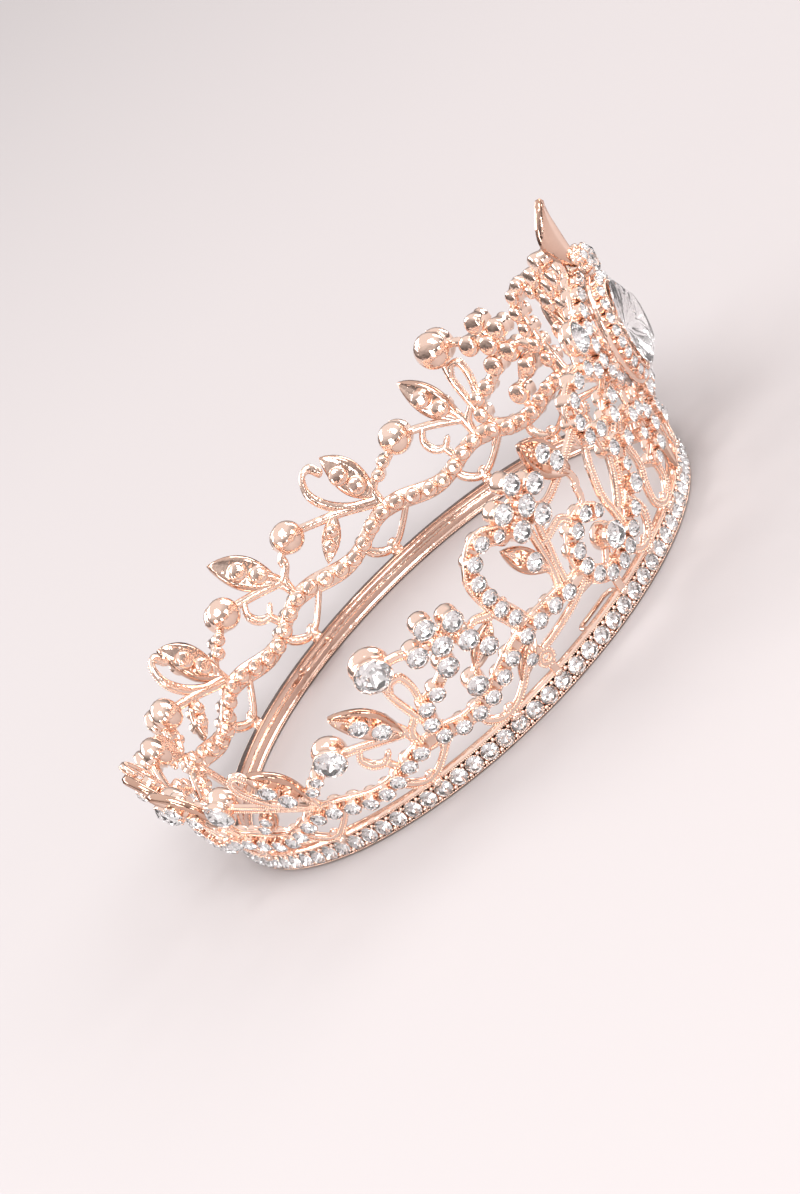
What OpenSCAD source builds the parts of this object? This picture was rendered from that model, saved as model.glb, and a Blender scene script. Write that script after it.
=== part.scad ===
// Full-round bridal tiara: a closed base band with a row of set stones, an openwork garland wall
// that flares outward, and a raised medallion at the front. Front faces -Y, +Z is up, and the
// origin is the centre of the ring on the plane that the band rests on.
// Places on the wall are given as [angle from the front in degrees, height in mm].

/* [Base band] */
// Inside radius of the band
band_r = 73; // [66:0.5:90]
// Height of the band strip
band_h = 6; // [5.6:0.1:7]
// Thickness of the band strip
band_t = 1; // [0.8:0.1:1.4]
// Depth of the channel that holds the row of stones
channel_t = 2.6; // [2.4:0.1:3]
// Thickness of the channel's two rims
rim_t = 0.3; // [0.2:0.05:0.5]
// Diameter of the stones in the band
band_stone_d = 4.2; // [3.2:0.1:4.3]
// Least gap between neighbouring cups in the band
band_cup_gap = 0.04; // [0.02:0.02:0.6]

/* [Side wires] */
// Diameter of the wire soldered inside the band
wire_d = 1.3; // [1:0.1:1.8]
// Height of the wire's centre
wire_z = 4.9; // [4:0.1:5.2]
// Angle from the front at which each wire begins
wire_from = 36; // [30:1:60]
// Length of the hairpin loop along the wire, in degrees
loop_sweep = 7; // [4:0.5:12]
// Radius of the hairpin's bends
loop_bend_r = 2.4; // [1.6:0.1:4]

/* [Garland wall] */
// Outward lean of the wall
flare = 14; // [8:1:20]
// Thickness of the cast wall
wall_t = 1.5; // [1.2:0.1:2.2]
// Height of the crown at the front
crown_h = 85; // [75:1:105]
// Width of the vine that runs round the wall
vine_w = 3.4; // [2.8:0.1:4]
// Width of the plain strands
strand_w = 1.5; // [1.2:0.1:2]
// Angle between the feet of neighbouring leaf units
unit_pitch = 24.4; // [24:0.1:24.8]

/* [Stones] */
// Diameter of the stones along the vine
vine_stone_d = 3.6; // [2.4:0.1:3.8]
// Diameter of the stones in leaves and buds
leaf_stone_d = 4.4; // [2.6:0.1:4.6]
// Diameter of the stones in the scrolls
scroll_stone_d = 3.6; // [2.6:0.1:3.7]
// Diameter of the smallest stones, on arms and curls
seed_stone_d = 2.8; // [2:0.1:3]
// Diameter of the round stone inside each front scroll
scroll_eye_d = 6.4; // [5:0.1:6.6]
// Diameter of the stones in the two blossoms
blossom_stone_d = 5; // [3.6:0.1:5.1]
// Diameter of the round stones on stalks
berry_d = 7.8; // [6.6:0.1:8.2]
// Diameter of the largest round stone on a stalk
big_berry_d = 9; // [8.2:0.1:9.4]
// Wall of metal round each stone
cup_wall = 0.3; // [0.25:0.05:0.35]
// Metal under the point of a stone in its cup
cup_floor = 0.3; // [0.2:0.1:0.8]
// Extra height of the deep cups that hold the berries
berry_rise = 1.2; // [0.5:0.1:2]
// How far the berries' cups reach inside the wall
berry_sink = 1.5; // [0.5:0.1:2.5]
// Clearance between a stone and its seat
seat_gap = 0.03; // [0.02:0.01:0.08]

/* [Medallion] */
// Height of the centre stone
gem_h = 24; // [20:0.5:26]
// Width of the centre stone
gem_w = 14; // [11:0.5:16]
// Depth of the centre stone
gem_t = 6; // [5:0.5:7]
// Height of the centre stone's middle above the resting plane
gem_z = 47; // [45:0.5:49]
// How far the raised plate stands off the wall
plate_lift = 2.5; // [2:0.1:3.5]
// Thickness of the raised plate
plate_t = 1.4; // [1.2:0.1:2]
// Diameter of the stones round the centre stone
halo_stone_d = 2.4; // [2:0.1:2.5]
// Number of stones round the centre stone
halo_count = 22; // [16:1:22]
// Height of the oval side stones
side_gem_h = 8.5; // [7:0.5:9.5]
// Width of the oval side stones
side_gem_w = 6; // [5:0.5:6.5]
// Length of the top leaf
top_leaf_l = 21; // [17:0.5:24]
// Width of the top leaf
top_leaf_w = 7; // [5:0.5:8]
// Lean of the top leaf beyond the wall's
top_leaf_lean = 8; // [0:1:12]

/* [Hidden] */

rose_gold = [0.93, 0.66, 0.53];
crystal = [0.93, 0.94, 0.96];
$fn = 32;
ring_fn = 240;

slope = tan(flare);
// Heights below are written for a crown 85 mm high and stretch with crown_h
rise = crown_h / 85;
cup_gap = 0.02;
// Width added all round a cast outline, which joins its strands into one shape
blend = 0.02;
// How much wider than its cup a pad is
pad_edge = 0.3;
// Height of the metal above a stone's girdle
lip = 0.1;
// Bevel round the foot of a cup
cup_bevel = 0.4;
// Depth of the straight edge round the oval stones
gem_edge = 0.6;
channel_r = band_r + band_t + channel_t;
// The rims of the channel stop just short of the cups' open ends
rim_r = channel_r - 0.2;
channel_h = band_stone_d + 2 * cup_wall + 2 * rim_t + 2 * cup_gap;
band_stone_z = channel_h / 2;
band_stone_count = floor(2 * PI * (band_r + band_t) / (cup_d(band_stone_d) + band_cup_gap));
wall_base_r = band_r + 1.4;
// Upper end of a wall window, above every strand
sky = 100;

// Wall radius at a height, inner face
function wall_r(h) = wall_base_r + slope * h;
// Actual height of a wall point
function high(z) = max(z * rise, channel_h);
// A wall point in the flat tilted plane that touches the wall at the angle mid
function flat(p, mid) = [wall_r(high(p[1])) * tan(p[0] - mid), high(p[1]) / cos(flare)];

// Catmull-Rom curve through points, with n steps for each span
function cr(a, b, c, d, t) = 0.5 * (2 * b + (c - a) * t + (2 * a - 5 * b + 4 * c - d) * t * t
  + (3 * b - a - 3 * c + d) * t * t * t);
function ends(p) = concat([2 * p[0] - p[1]], p, [2 * p[len(p) - 1] - p[len(p) - 2]]);
function smooth(p, n = 3) = let (q = ends(p)) concat(
  [for (i = [1 : len(q) - 3]) for (k = [0 : n - 1]) cr(q[i - 1], q[i], q[i + 1], q[i + 2], k / n)],
  [p[len(p) - 1]]);
function unit(v) = v / norm(v);
function normal(p, i) = let (u = unit(p[min(i + 1, len(p) - 1)] - p[max(i - 1, 0)])) [-u[1], u[0]];

// ---- flat shapes of the wall, drawn in the plane of the window's middle, $mid ----

module strand(points, w = strand_w) {
  line = smooth([for (p = points) flat(p, $mid)]);
  left = [for (i = [0 : len(line) - 1]) line[i] + normal(line, i) * w / 2];
  right = [for (i = [len(line) - 1 : -1 : 0]) line[i] - normal(line, i) * w / 2];
  polygon(concat(left, right));
  for (p = [line[0], line[len(line) - 1]]) translate(p) circle(d = w, $fn = 8);
}

module almond(base, tip, w) {
  a = flat(base, $mid);
  b = flat(tip, $mid);
  across = let (u = unit(b - a)) [-u[1], u[0]];
  steps = 8;
  function edge(t, s) = a + (b - a) * t + across * s * w / 2 * pow(sin(180 * t), 0.8);
  polygon(concat(
    [for (k = [0 : steps]) edge(k / steps, 1)],
    [for (k = [steps - 1 : -1 : 1]) edge(k / steps, -1)]));
}

spot_fn = 16;

module spot(p, d) {
  translate(flat(p, $mid)) circle(d = d, $fn = spot_fn);
}

// A hole whose flats clear a round cup of diameter d
module cup_hole(p, d) {
  spot(p, (d + 2 * (cup_gap + blend)) / cos(180 / spot_fn));
}

// ---- placing ----

// The tilted plane that touches the wall at the angle mid, drawn from its foot at height 0
module on_plane(mid, out = 0) {
  rotate([0, 0, mid]) translate([0, -wall_base_r, 0]) rotate([90 + flare, 0, 0])
    translate([0, 0, out]) children();
}

// Each stone's place on the face of the window that holds it; $d is the stone's diameter
module at_stones(windows, stones) {
  for (w = windows) for (s = stones)
    if (w[0] <= s[0] && s[0] < w[1] && w[2] <= s[1] && s[1] < w[3]) {
      $d = s[2];
      mid = (w[0] + w[1]) / 2;
      on_plane(mid, is_berry($d) ? -berry_sink : wall_t) translate(flat(s, mid)) children();
    }
}

// Side pieces are drawn on the +X side, which is the wearer's left
module right_side() {
  mirror([1, 0, 0]) children();
}

// ---- stones and their cups ----

function stone_depth(d) = 0.36 * d;
function girdle(d) = 0.05 * d;
function stone_top(d) = 0.21 * d;
function is_berry(d) = d >= berry_d;
function cup_h(d) = stone_depth(d) + girdle(d) + cup_floor + lip + (is_berry(d) ? berry_rise : 0);
// Height of the girdle's lower edge above the cup's foot
function seat_z(d, h) = h - girdle(d) - lip;
function cup_d(d) = d + 2 * cup_wall;

module round_stone(d) {
  rotate_extrude()
    polygon([
      [0, -stone_depth(d)], [d / 2, 0], [d / 2, girdle(d)], [0.3 * d, stone_top(d)],
      [0, stone_top(d)]
    ]);
}

// A round cup h high with a seat that follows the stone
module cup(d, h) {
  r = cup_d(d) / 2;
  rotate_extrude()
    polygon([
      [0, 0], [r - cup_bevel, 0], [r, cup_bevel], [r, h], [d / 2 + seat_gap, h],
      [d / 2 + seat_gap, seat_z(d, h)], [0, seat_z(d, h) - stone_depth(d) - seat_gap]
    ]);
}

module cup_group(windows, stones) {
  color(rose_gold) at_stones(windows, stones) cup($d, cup_h($d));
}

module stone_group(windows, stones) {
  color(crystal) at_stones(windows, stones)
    translate([0, 0, seat_z($d, cup_h($d))]) round_stone($d);
}

// One flat window of the wall, [from angle, to angle, from height, to height]
module window(w) {
  $mid = (w[0] + w[1]) / 2;
  lap = 0.2;
  corners = [[w[0], w[2], -lap], [w[1], w[2], lap], [w[1], w[3], lap], [w[0], w[3], -lap]];
  on_plane($mid) linear_extrude(height = wall_t) offset(delta = blend) intersection() {
    polygon([for (c = corners) flat(c, $mid) + [c[2], 0]]);
    children();
  }
}

// A cast piece of the wall: flat windows side by side, with a round pad under each small cup
// and a hole round each berry's cup
module casting(windows, stones) {
  color(rose_gold) for (w = windows)
    window(w) difference() {
      union() {
        children();
        for (s = stones) if (!is_berry(s[2])) spot(s, cup_d(s[2]) + pad_edge);
      }
      for (s = stones) if (is_berry(s[2])) cup_hole(s, cup_d(s[2]));
    }
}

// Windows of equal width from angle lo to hi
function equal_windows(lo, hi, n, from = 0, to = sky) = [for (k = [0 : n - 1])
  [lo + k * (hi - lo) / n, lo + (k + 1) * (hi - lo) / n, from, to]];

// ---- base band ----

module base_band() {
  color(rose_gold) rotate_extrude($fn = ring_fn)
    polygon([
      [band_r, 0], [rim_r, 0], [rim_r, rim_t], [band_r + band_t, rim_t],
      [band_r + band_t, channel_h - rim_t], [rim_r, channel_h - rim_t], [rim_r, channel_h],
      [band_r + band_t, channel_h], [band_r + band_t, band_h], [band_r, band_h]
    ]);
}

module on_band(i, out) {
  rotate([0, 0, i * 360 / band_stone_count]) translate([0, -band_r - band_t, band_stone_z])
    rotate([90, 0, 0]) translate([0, 0, out]) children();
}

band_half = floor(band_stone_count / 2);

module band_cup_row(first, last) {
  color(rose_gold) for (i = [first : last])
    on_band(i, cup_gap) cup(band_stone_d, channel_t - cup_gap);
}

module band_stone_row(first, last) {
  color(crystal) for (i = [first : last])
    on_band(i, seat_z(band_stone_d, channel_t)) round_stone(band_stone_d);
}

module band_cups_left() { band_cup_row(0, band_half - 1); }
module band_cups_right() { band_cup_row(band_half, band_stone_count - 1); }
module band_stones_left() { band_stone_row(0, band_half - 1); }
module band_stones_right() { band_stone_row(band_half, band_stone_count - 1); }

// ---- side wires with a hairpin loop at each end ----

wire_r = band_r - wire_d / 2;
loop_r = wire_r - 2 * loop_bend_r;
// The hairpin's free end stops short of the wire
free_bend = 110;

wire_sides = 8;

function outward(a) = [sin(a), -cos(a)];
function onward(a) = [cos(a), sin(a)];
function bend_point(a, turn, way) = (wire_r - loop_bend_r) * outward(a)
  + loop_bend_r * (-cos(turn) * outward(a) + way * sin(turn) * onward(a));
// From the hairpin's free end to the start of the long run
hairpin_path = concat(
  [for (k = [4 : -1 : 1]) bend_point(wire_from + loop_sweep, free_bend * k / 4, 1)],
  [for (k = [3 : -1 : 1]) loop_r * outward(wire_from + loop_sweep * k / 3)],
  [for (k = [0 : 6]) bend_point(wire_from, 30 * k, -1)]);
long_run = [for (k = [1 : 26]) wire_r * outward(wire_from + (180 - 2 * wire_from) * k / 27)];
wire_path = concat(hairpin_path, long_run,
  [for (k = [len(hairpin_path) - 1 : -1 : 0]) [hairpin_path[k][0], -hairpin_path[k][1]]]);

// A round wire along a path that lies flat at wire_z
module wire_along(path) {
  n = len(path);
  m = wire_sides;
  rings = [for (i = [0 : n - 1]) for (k = [0 : m - 1]) let (
    s = normal(path, i), p = path[i] + s * wire_d / 2 * cos(360 * k / m))
    [p[0], p[1], wire_z + wire_d / 2 * sin(360 * k / m)]];
  sides = [for (i = [0 : n - 2]) for (k = [0 : m - 1]) let (j = (k + 1) % m)
    [i * m + k, (i + 1) * m + k, (i + 1) * m + j, i * m + j]];
  caps = [[for (k = [0 : m - 1]) k], [for (k = [m - 1 : -1 : 0]) (n - 1) * m + k]];
  polyhedron(rings, concat(sides, caps));
}

module side_wire() {
  wire_along(wire_path);
}

module side_wire_left() {
  color(rose_gold) side_wire();
}

module side_wire_right() {
  color(rose_gold) right_side() side_wire();
}

// ---- leaf units: a loop standing on the band, the vine, a leaf and a berry on a stalk ----

first_foot = 85.6;
last_unit = 3;
unit_start = 4.9;
back_from = 176;
function foot(i) = first_foot + i * unit_pitch;
function vine_z(a) = 14.3 + 2 * cos(360 * (a - 82.5) / unit_pitch);
function unit_lo(i) = foot(i) - unit_start;
function unit_hi(i) = i < last_unit ? unit_lo(i + 1) : back_from;
function is_leaf_a(i) = i % 2 == 0;
function berry_at(i) = foot(i) + (is_leaf_a(i) ? 10.2 : 14.4);
berry_z = 29;

function unit_vine_stones(i) = let (f = foot(i))
  [for (k = [0 : 6]) let (a = f - 2.4 + k * unit_pitch / 7) if (a < back_from - 1)
    [a, vine_z(a), vine_stone_d]];
function unit_leaf_stones(i) = let (f = foot(i)) is_leaf_a(i)
  ? [[f - 0.8, 28.2, leaf_stone_d], [f + 1.5, 33, leaf_stone_d],
     [f + 15.2, 26.2, seed_stone_d], [f + 17.6, 24.2, seed_stone_d]]
  : [[f - 2.2, 26, leaf_stone_d], [f - 0.8, 31, leaf_stone_d],
     [f + 7.4, 21.8, seed_stone_d], [f + 9.8, 19.4, seed_stone_d]];
function unit_stones(i) = concat(unit_vine_stones(i), unit_leaf_stones(i),
  [[berry_at(i), berry_z, berry_d]]);

function unit_windows(i) = equal_windows(unit_lo(i), unit_hi(i), 3);

module foot_loop(f) {
  strand([[f - 7.4, 14], [f - 4, 10.4], [f - 0.8, 7.8], [f + 2, 7.6], [f + 4.6, 10.2],
    [f + 4.8, 13.4], [f + 3, 14.6]], 1.3);
  strand([[f + 0.6, 8], [f + 0.6, 5.2]], 2.6);
}

module leaf_a(f) {
  almond([f - 2.8, 22.5], [f + 3.8, 40], 7);
  strand([[f - 3.2, 17], [f - 2.8, 23], [f - 1.5, 27]], 1.8);
  strand([[f - 2.6, 22.5], [f + 2, 25.2], [f + 6, 27.2], [f + 10, 29]], 1.4);
  strand([[f + 5, 26.6], [f + 6.6, 23.6], [f + 6, 20.4], [f + 4, 19], [f + 2.4, 20.4]], 1.2);
  strand([[f + 4, 19], [f + 3.4, 16.4]], 1.4);
}

module leaf_b(f) {
  almond([f - 3.9, 20], [f - 0.4, 38], 7.2);
  strand([[f - 3.4, 16], [f - 3.6, 21]], 2);
  strand([[f - 3.2, 19.6], [f + 1.4, 22.6], [f + 4.6, 27.4], [f + 5.8, 32.8], [f + 4.4, 37.2],
    [f + 2.4, 37.8], [f + 1.4, 35]], 1.4);
  strand([[f - 3.4, 18.4], [f + 3, 23], [f + 8, 26], [f + 14, 29]], 1.4);
  almond([f + 4.6, 24.6], [f + 12.6, 16.4], 4.8);
}

module leaf_unit(i) {
  lo = unit_lo(i);
  hi = unit_hi(i);
  f = foot(i);
  casting(unit_windows(i), unit_stones(i)) {
    union() {
      strand([for (a = [lo - 2 : 2 : hi + 2]) [a, vine_z(a)]], vine_w);
      foot_loop(f);
      if (is_leaf_a(i)) leaf_a(f);
      if (!is_leaf_a(i)) leaf_b(f);
      strand([[berry_at(i), 28], [berry_at(i) + 3.4, 26.4], [hi - 1, 24.2], [hi + 2, 22]], 1.8);
      strand([[lo - 1, 24], [lo + 1.2, 21.4], [f - 3, 17]], 1.8);
    }
  }
}

module leaf_unit_1_left() { leaf_unit(0); }
module leaf_unit_1_right() { right_side() leaf_unit(0); }
module leaf_unit_2_left() { leaf_unit(1); }
module leaf_unit_2_right() { right_side() leaf_unit(1); }
module leaf_unit_3_left() { leaf_unit(2); }
module leaf_unit_3_right() { right_side() leaf_unit(2); }
module leaf_unit_4_left() { leaf_unit(3); }
module leaf_unit_4_right() { right_side() leaf_unit(3); }

garland_windows = [for (i = [0 : last_unit]) each unit_windows(i)];
garland_stones = [for (i = [0 : last_unit]) each unit_stones(i)];
module garland_cups_left() { cup_group(garland_windows, garland_stones); }
module garland_cups_right() { right_side() cup_group(garland_windows, garland_stones); }
module garland_stones_left() { stone_group(garland_windows, garland_stones); }
module garland_stones_right() { right_side() stone_group(garland_windows, garland_stones); }

// ---- spray: six round stones, the largest berry and a small scroll ----

spray_stones = concat(
  [for (p = [[60.4, 19], [63.8, 17], [67.4, 15], [71, 14.2], [74.6, 14.4], [78.2, 16]])
    [p[0], p[1], vine_stone_d]],
  [for (p = [[67.6, 42.4], [63.6, 38.8], [67.4, 35.8], [71.6, 38], [63.8, 32], [69.2, 30.4]])
    [p[0], p[1], blossom_stone_d]],
  [for (p = [[73.6, 26.4], [76.8, 25], [78.2, 20.8]]) [p[0], p[1], scroll_stone_d]],
  [[67.8, 20.9, blossom_stone_d], [62, 26.6, leaf_stone_d], [58.2, 14.6, seed_stone_d],
   [78.6, 42, big_berry_d]]);

spray_lo = 58.3;
spray_low_lo = 53.6;
spray_hi = unit_lo(0);
berry_hi = spray_hi + 1.7;
vine_under = 17.8;
spray_windows = [
  [spray_low_lo, spray_lo, 0, vine_under], [spray_lo, 65.6, 0, sky], [65.6, 73, 0, sky],
  [73, spray_hi, 0, 35], [73, berry_hi, 35, sky]
];

module spray_casting() {
  casting(spray_windows, spray_stones) {
    union() {
      strand([[56, 20.4], [60.4, 19], [63.8, 17], [67.4, 15], [71, 14.2], [74.6, 14.4],
        [78.2, 16], [81, 16.4]], vine_w);
      strand([[59.4, 13.6], [62, 10.4], [65.6, 7.6], [69, 7.6], [71.2, 10.2], [71, 13]], 1.3);
      strand([[67, 8], [67, 5.2]], 2.6);
      strand([[80.2, 12.6], [78.2, 14]], 1.3);
      almond([54.8, 18], [62, 11.4], 5);
      for (p = [[63.6, 38.8], [67.6, 42.4], [71.6, 38], [69.2, 30.4], [63.8, 32]])
        strand([[67.4, 35.8], p], 2.2);
      strand([[71.6, 38], [75, 41], [78.6, 42]], 1.8);
      strand([[79, 38], [79.6, 33], [79.4, 27], [79, 22], [78.4, 17]], 1.4);
      strand([[79.4, 33.5], [78, 36], [76.2, 35.4], [76, 31], [77, 26]], 1.5);
      strand([[69.2, 30.4], [70.8, 28.4], [73.6, 26.4], [76.8, 25], [78.2, 20.8], [78.2, 16]], 2.8);
      almond([58.8, 30], [66.4, 23], 6);
      strand([[55, 30.8], [58.3, 31.2], [61, 33], [63.8, 32]], 1.4);
      strand([[58.6, 30.4], [60.4, 32.6]], 1.6);
      strand([[66, 23.4], [67.8, 20.9], [68, 15.4]], 1.8);
      difference() {
        spot([55.8, 11], 4.6);
        spot([55.8, 11], 1.6);
      }
      strand([[55.8, 9.4], [55.8, 5.2]], 1.6);
      strand([[55.8, 12.8], [56.4, 15.6]], 1.6);
      strand([[52, 13.8], [55.8, 12.8]], 1.5);
    }
  }
}

module spray_casting_left() { spray_casting(); }
module spray_casting_right() { right_side() spray_casting(); }
module spray_cups_left() { cup_group(spray_windows, spray_stones); }
module spray_cups_right() { right_side() cup_group(spray_windows, spray_stones); }
module spray_stones_left() { stone_group(spray_windows, spray_stones); }
module spray_stones_right() { right_side() stone_group(spray_windows, spray_stones); }

// ---- blossom: six round stones above a tall C-shaped scroll ----

blossom_stones = concat(
  [for (p = [[42.4, 52], [46.4, 48.4], [42.5, 45], [38.8, 47], [45.6, 41.2], [41, 39.8]])
    [p[0], p[1], blossom_stone_d]],
  [for (p = [[52, 47.2], [55, 44.8], [56.6, 40.4], [56.7, 35.7], [56.5, 31], [55.6, 26.4]])
    [p[0], p[1], scroll_stone_d]],
  [for (p = [[45.4, 19.6], [49, 20.2], [52.6, 20.6], [56.2, 20.4]]) [p[0], p[1], vine_stone_d]],
  [[49, 44.8, seed_stone_d], [47.1, 32.8, leaf_stone_d]]);

leaf_hi = 36.9;
scroll_hi = 41.8;
scroll_split_z = 36;
blossom_windows = [
  [leaf_hi, 44, scroll_split_z, sky], [scroll_hi, 44, 0, scroll_split_z], [44, 51, 0, sky],
  [51, spray_lo, vine_under, sky], [51, spray_low_lo, 0, vine_under]
];

module blossom_casting() {
  casting(blossom_windows, blossom_stones) {
    union() {
      strand([[40, 17], [42.4, 18.6], [45.4, 19.6], [49, 20.2], [52.6, 20.6], [56.2, 20.4],
        [60, 19.2]], vine_w);
      strand([[41, 17], [45, 15.4], [49, 14.4], [52, 13.8], [55, 13.4]], 1.5);
      strand([[48, 43], [49, 44.8], [52, 47.4], [55, 45], [56.8, 40.4], [56.9, 35.7], [56.6, 31],
        [55.6, 26.4], [54.6, 21]], 3.6);
      for (p = [[42.4, 52], [46.4, 48.4], [38.8, 47], [45.6, 41.2], [41, 39.8]])
        strand([[42.5, 45], p], 2.2);
      almond([45, 26.4], [50.2, 41], 5.6);
      strand([[43.6, 42], [44, 34], [44.6, 27], [46, 20]], 1.5);
      strand([[41.6, 38], [42.6, 32], [43.6, 26], [44.2, 20]], 1.5);
      strand([[40, 33], [42.6, 32.6], [44, 33]], 1.4);
      strand([[45.2, 27], [44.4, 24]], 1.6);
    }
  }
}

module blossom_casting_left() { blossom_casting(); }
module blossom_casting_right() { right_side() blossom_casting(); }
module blossom_cups_left() { cup_group(blossom_windows, blossom_stones); }
module blossom_cups_right() { right_side() cup_group(blossom_windows, blossom_stones); }
module blossom_stones_left() { stone_group(blossom_windows, blossom_stones); }
module blossom_stones_right() { right_side() stone_group(blossom_windows, blossom_stones); }

// ---- scrolls between the centre and the blossom ----

panel_edge = 17;
lower_scroll_windows = equal_windows(panel_edge, scroll_hi, 3, 0, scroll_split_z);
upper_scroll_windows = equal_windows(panel_edge, leaf_hi, 2, scroll_split_z, sky);
scroll_windows = concat(lower_scroll_windows, upper_scroll_windows);

lower_scroll_stones = concat(
  [for (p = [[23.8, 17.4], [26.8, 14.8], [29.8, 12.9], [33, 12], [36.2, 12.8], [38.7, 15.8],
    [39.8, 20], [39.3, 24.4], [37.3, 28.2], [34, 29.4], [20, 32.2]])
    [p[0], p[1], scroll_stone_d]],
  [[18.9, 26, seed_stone_d], [20.2, 21.2, leaf_stone_d], [31.2, 26.4, seed_stone_d],
   [32, 19.4, scroll_eye_d]]);
upper_scroll_stones = concat(
  [for (p = [[18.9, 51.6], [22.4, 49.8], [24.2, 45.2], [24, 40.4], [20.4, 38.6]])
    [p[0], p[1], scroll_stone_d]],
  [[33, 45.4, leaf_stone_d], [34.6, 50, leaf_stone_d]]);
scroll_stones = concat(lower_scroll_stones, upper_scroll_stones);

module scroll_lines() {
  strand([[15, 29], [18.9, 26], [20.2, 21.2], [23.8, 17.4], [26.8, 14.8], [29.8, 12.9], [33, 12],
    [36.2, 12.8], [38.7, 15.8], [39.8, 20], [39.3, 24.4], [37.3, 28.2], [34, 29.4],
    [31.2, 26.4]], 3.4);
  strand([[15.2, 50.4], [18.9, 51.6], [22.4, 49.8], [24.2, 45.2], [24, 40.4], [20.4, 38.6],
    [20, 32.2], [22, 26], [25.6, 20]], 2.6);
  strand([[24, 40.4], [26.4, 34], [27.6, 27], [27.2, 21], [26.8, 15.6]], 1.5);
  strand([[20, 32.2], [17, 35.6], [15.2, 37.4]], 2.4);
  strand([[24.2, 45.2], [28, 43.2], [31.4, 41.6], [37.2, 39.4], [40, 40]], 1.6);
  strand([[31.4, 41.6], [30.6, 36], [31.6, 31.6], [33, 29]], 1.5);
  strand([[35.6, 29], [37.6, 33], [40, 33.2], [43, 32.6]], 1.5);
  almond([30.8, 38.6], [37, 56.6], 8.6);
  strand([[32, 19.4], [34.2, 15.4], [36.2, 12.8]], 2);
  strand([[39, 18], [43, 18.6]], 3);
  strand([[38, 15], [43, 15.8]], 1.5);
  strand([[35.4, 12], [35.4, 5.2]], 2);
  strand([[21.8, 18.6], [20.4, 13], [22.6, 8], [26, 7.6], [28.4, 10.4], [28.6, 13]], 1.3);
  strand([[24.4, 8], [24.4, 5.2]], 2.6);
}

module lower_scroll() {
  casting(lower_scroll_windows, lower_scroll_stones) scroll_lines();
}

module upper_scroll() {
  casting(upper_scroll_windows, upper_scroll_stones) scroll_lines();
}

module lower_scroll_left() { lower_scroll(); }
module lower_scroll_right() { right_side() lower_scroll(); }
module upper_scroll_left() { upper_scroll(); }
module upper_scroll_right() { right_side() upper_scroll(); }
module scroll_cups_left() { cup_group(scroll_windows, scroll_stones); }
module scroll_cups_right() { right_side() cup_group(scroll_windows, scroll_stones); }
module scroll_stones_left() { stone_group(scroll_windows, scroll_stones); }
module scroll_stones_right() { right_side() stone_group(scroll_windows, scroll_stones); }

// ---- centre panel behind the medallion ----

panel_z = 49;
ring_d = 29;
ring_stone_count = 20;
// The wall angle and height of a point x, y from the middle of the panel's ring
function from_ring(x, y) = let (h = high(panel_z) + y * cos(flare))
  [atan(x / wall_r(h)), h / rise];
function ring_point(k) = let (a = 360 * (k + 0.5) / ring_stone_count)
  from_ring(ring_d / 2 * sin(a), ring_d / 2 * cos(a));
function both(stones) = concat(stones, [for (s = stones) [-s[0], s[1], s[2]]]);
centre_stones = concat(
  [for (k = [0 : ring_stone_count - 1]) concat(ring_point(k), scroll_stone_d)],
  both([for (p = [[12.6, 47.4], [15.1, 50.6], [12.8, 40], [15.2, 36.8], [10.2, 31], [6.6, 29.6],
    [3.9, 26.4], [3.4, 21.9], [5, 17.9], [15.1, 29.4]]) [p[0], p[1], scroll_stone_d]]),
  both([[8.4, 16.6, seed_stone_d], [9.2, 24.6, seed_stone_d]]));

side_gem_at = [13.4, 58];

module panel_half(s) {
  function m(p) = [for (q = p) [s * q[0], q[1]]];
  strand(m([[9, 44], [12.6, 47.4], [15.1, 50.6], [18.9, 51.6]]), 2.6);
  strand(m([[8.6, 42], [12.8, 40], [15.2, 36.8], [20, 32.2]]), 2.6);
  strand(m([[10.2, 31], [6.6, 29.6], [3.9, 26.4], [3.4, 21.9], [5, 17.9], [8.4, 16.6]]), 3);
  strand(m([[10.2, 31], [12.8, 31], [15.1, 29.4], [18.9, 26]]), 2.6);
  strand(m([[6.6, 29.6], [9.2, 24.6]]), 1.8);
  strand(m([[5.6, 34.6], [6.6, 29.6]]), 2);
  strand(m([[8.4, 16.6], [8, 11], [10.4, 7.8], [13.6, 7.8], [16, 11], [15.4, 16], [13.8, 21],
    [15.1, 29.4]]), 1.4);
  strand(m([[12, 8], [12, 5.2]]), 2.6);
  strand(m([[8, 58], side_gem_at]), 3);
  strand(m([[15, 51], side_gem_at]), 2);
}

panel_windows = equal_windows(-panel_edge, panel_edge, 5);

module centre_panel() {
  casting(panel_windows, centre_stones) {
    union() {
      strand([for (k = [0 : ring_stone_count]) ring_point(k)], 3.4);
      strand([for (k = [0 : ring_stone_count]) let (a = 360 * k / ring_stone_count)
        from_ring(7.5 * sin(a), 7.5 * cos(a))], 2);
      for (a = [45 : 90 : 315])
        strand([from_ring(7 * sin(a), 7 * cos(a)), from_ring(13 * sin(a), 13 * cos(a))], 2);
      for (s = [-1, 1]) panel_half(s);
      for (s = [-1, 1]) spot([s * side_gem_at[0], side_gem_at[1]], side_gem_h);
      strand([[0, 62], [0, 70]], 4);
      almond([0, 5], [0, 24], 5);
      strand([[-3.6, 22], [0, 19], [3.6, 22]], 1.6);
    }
  }
}

module centre_cups() { cup_group(panel_windows, centre_stones); }
module centre_stones() { stone_group(panel_windows, centre_stones); }

// ---- medallion: a raised plate on posts, the centre stone in a bezel and a halo ----

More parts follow.
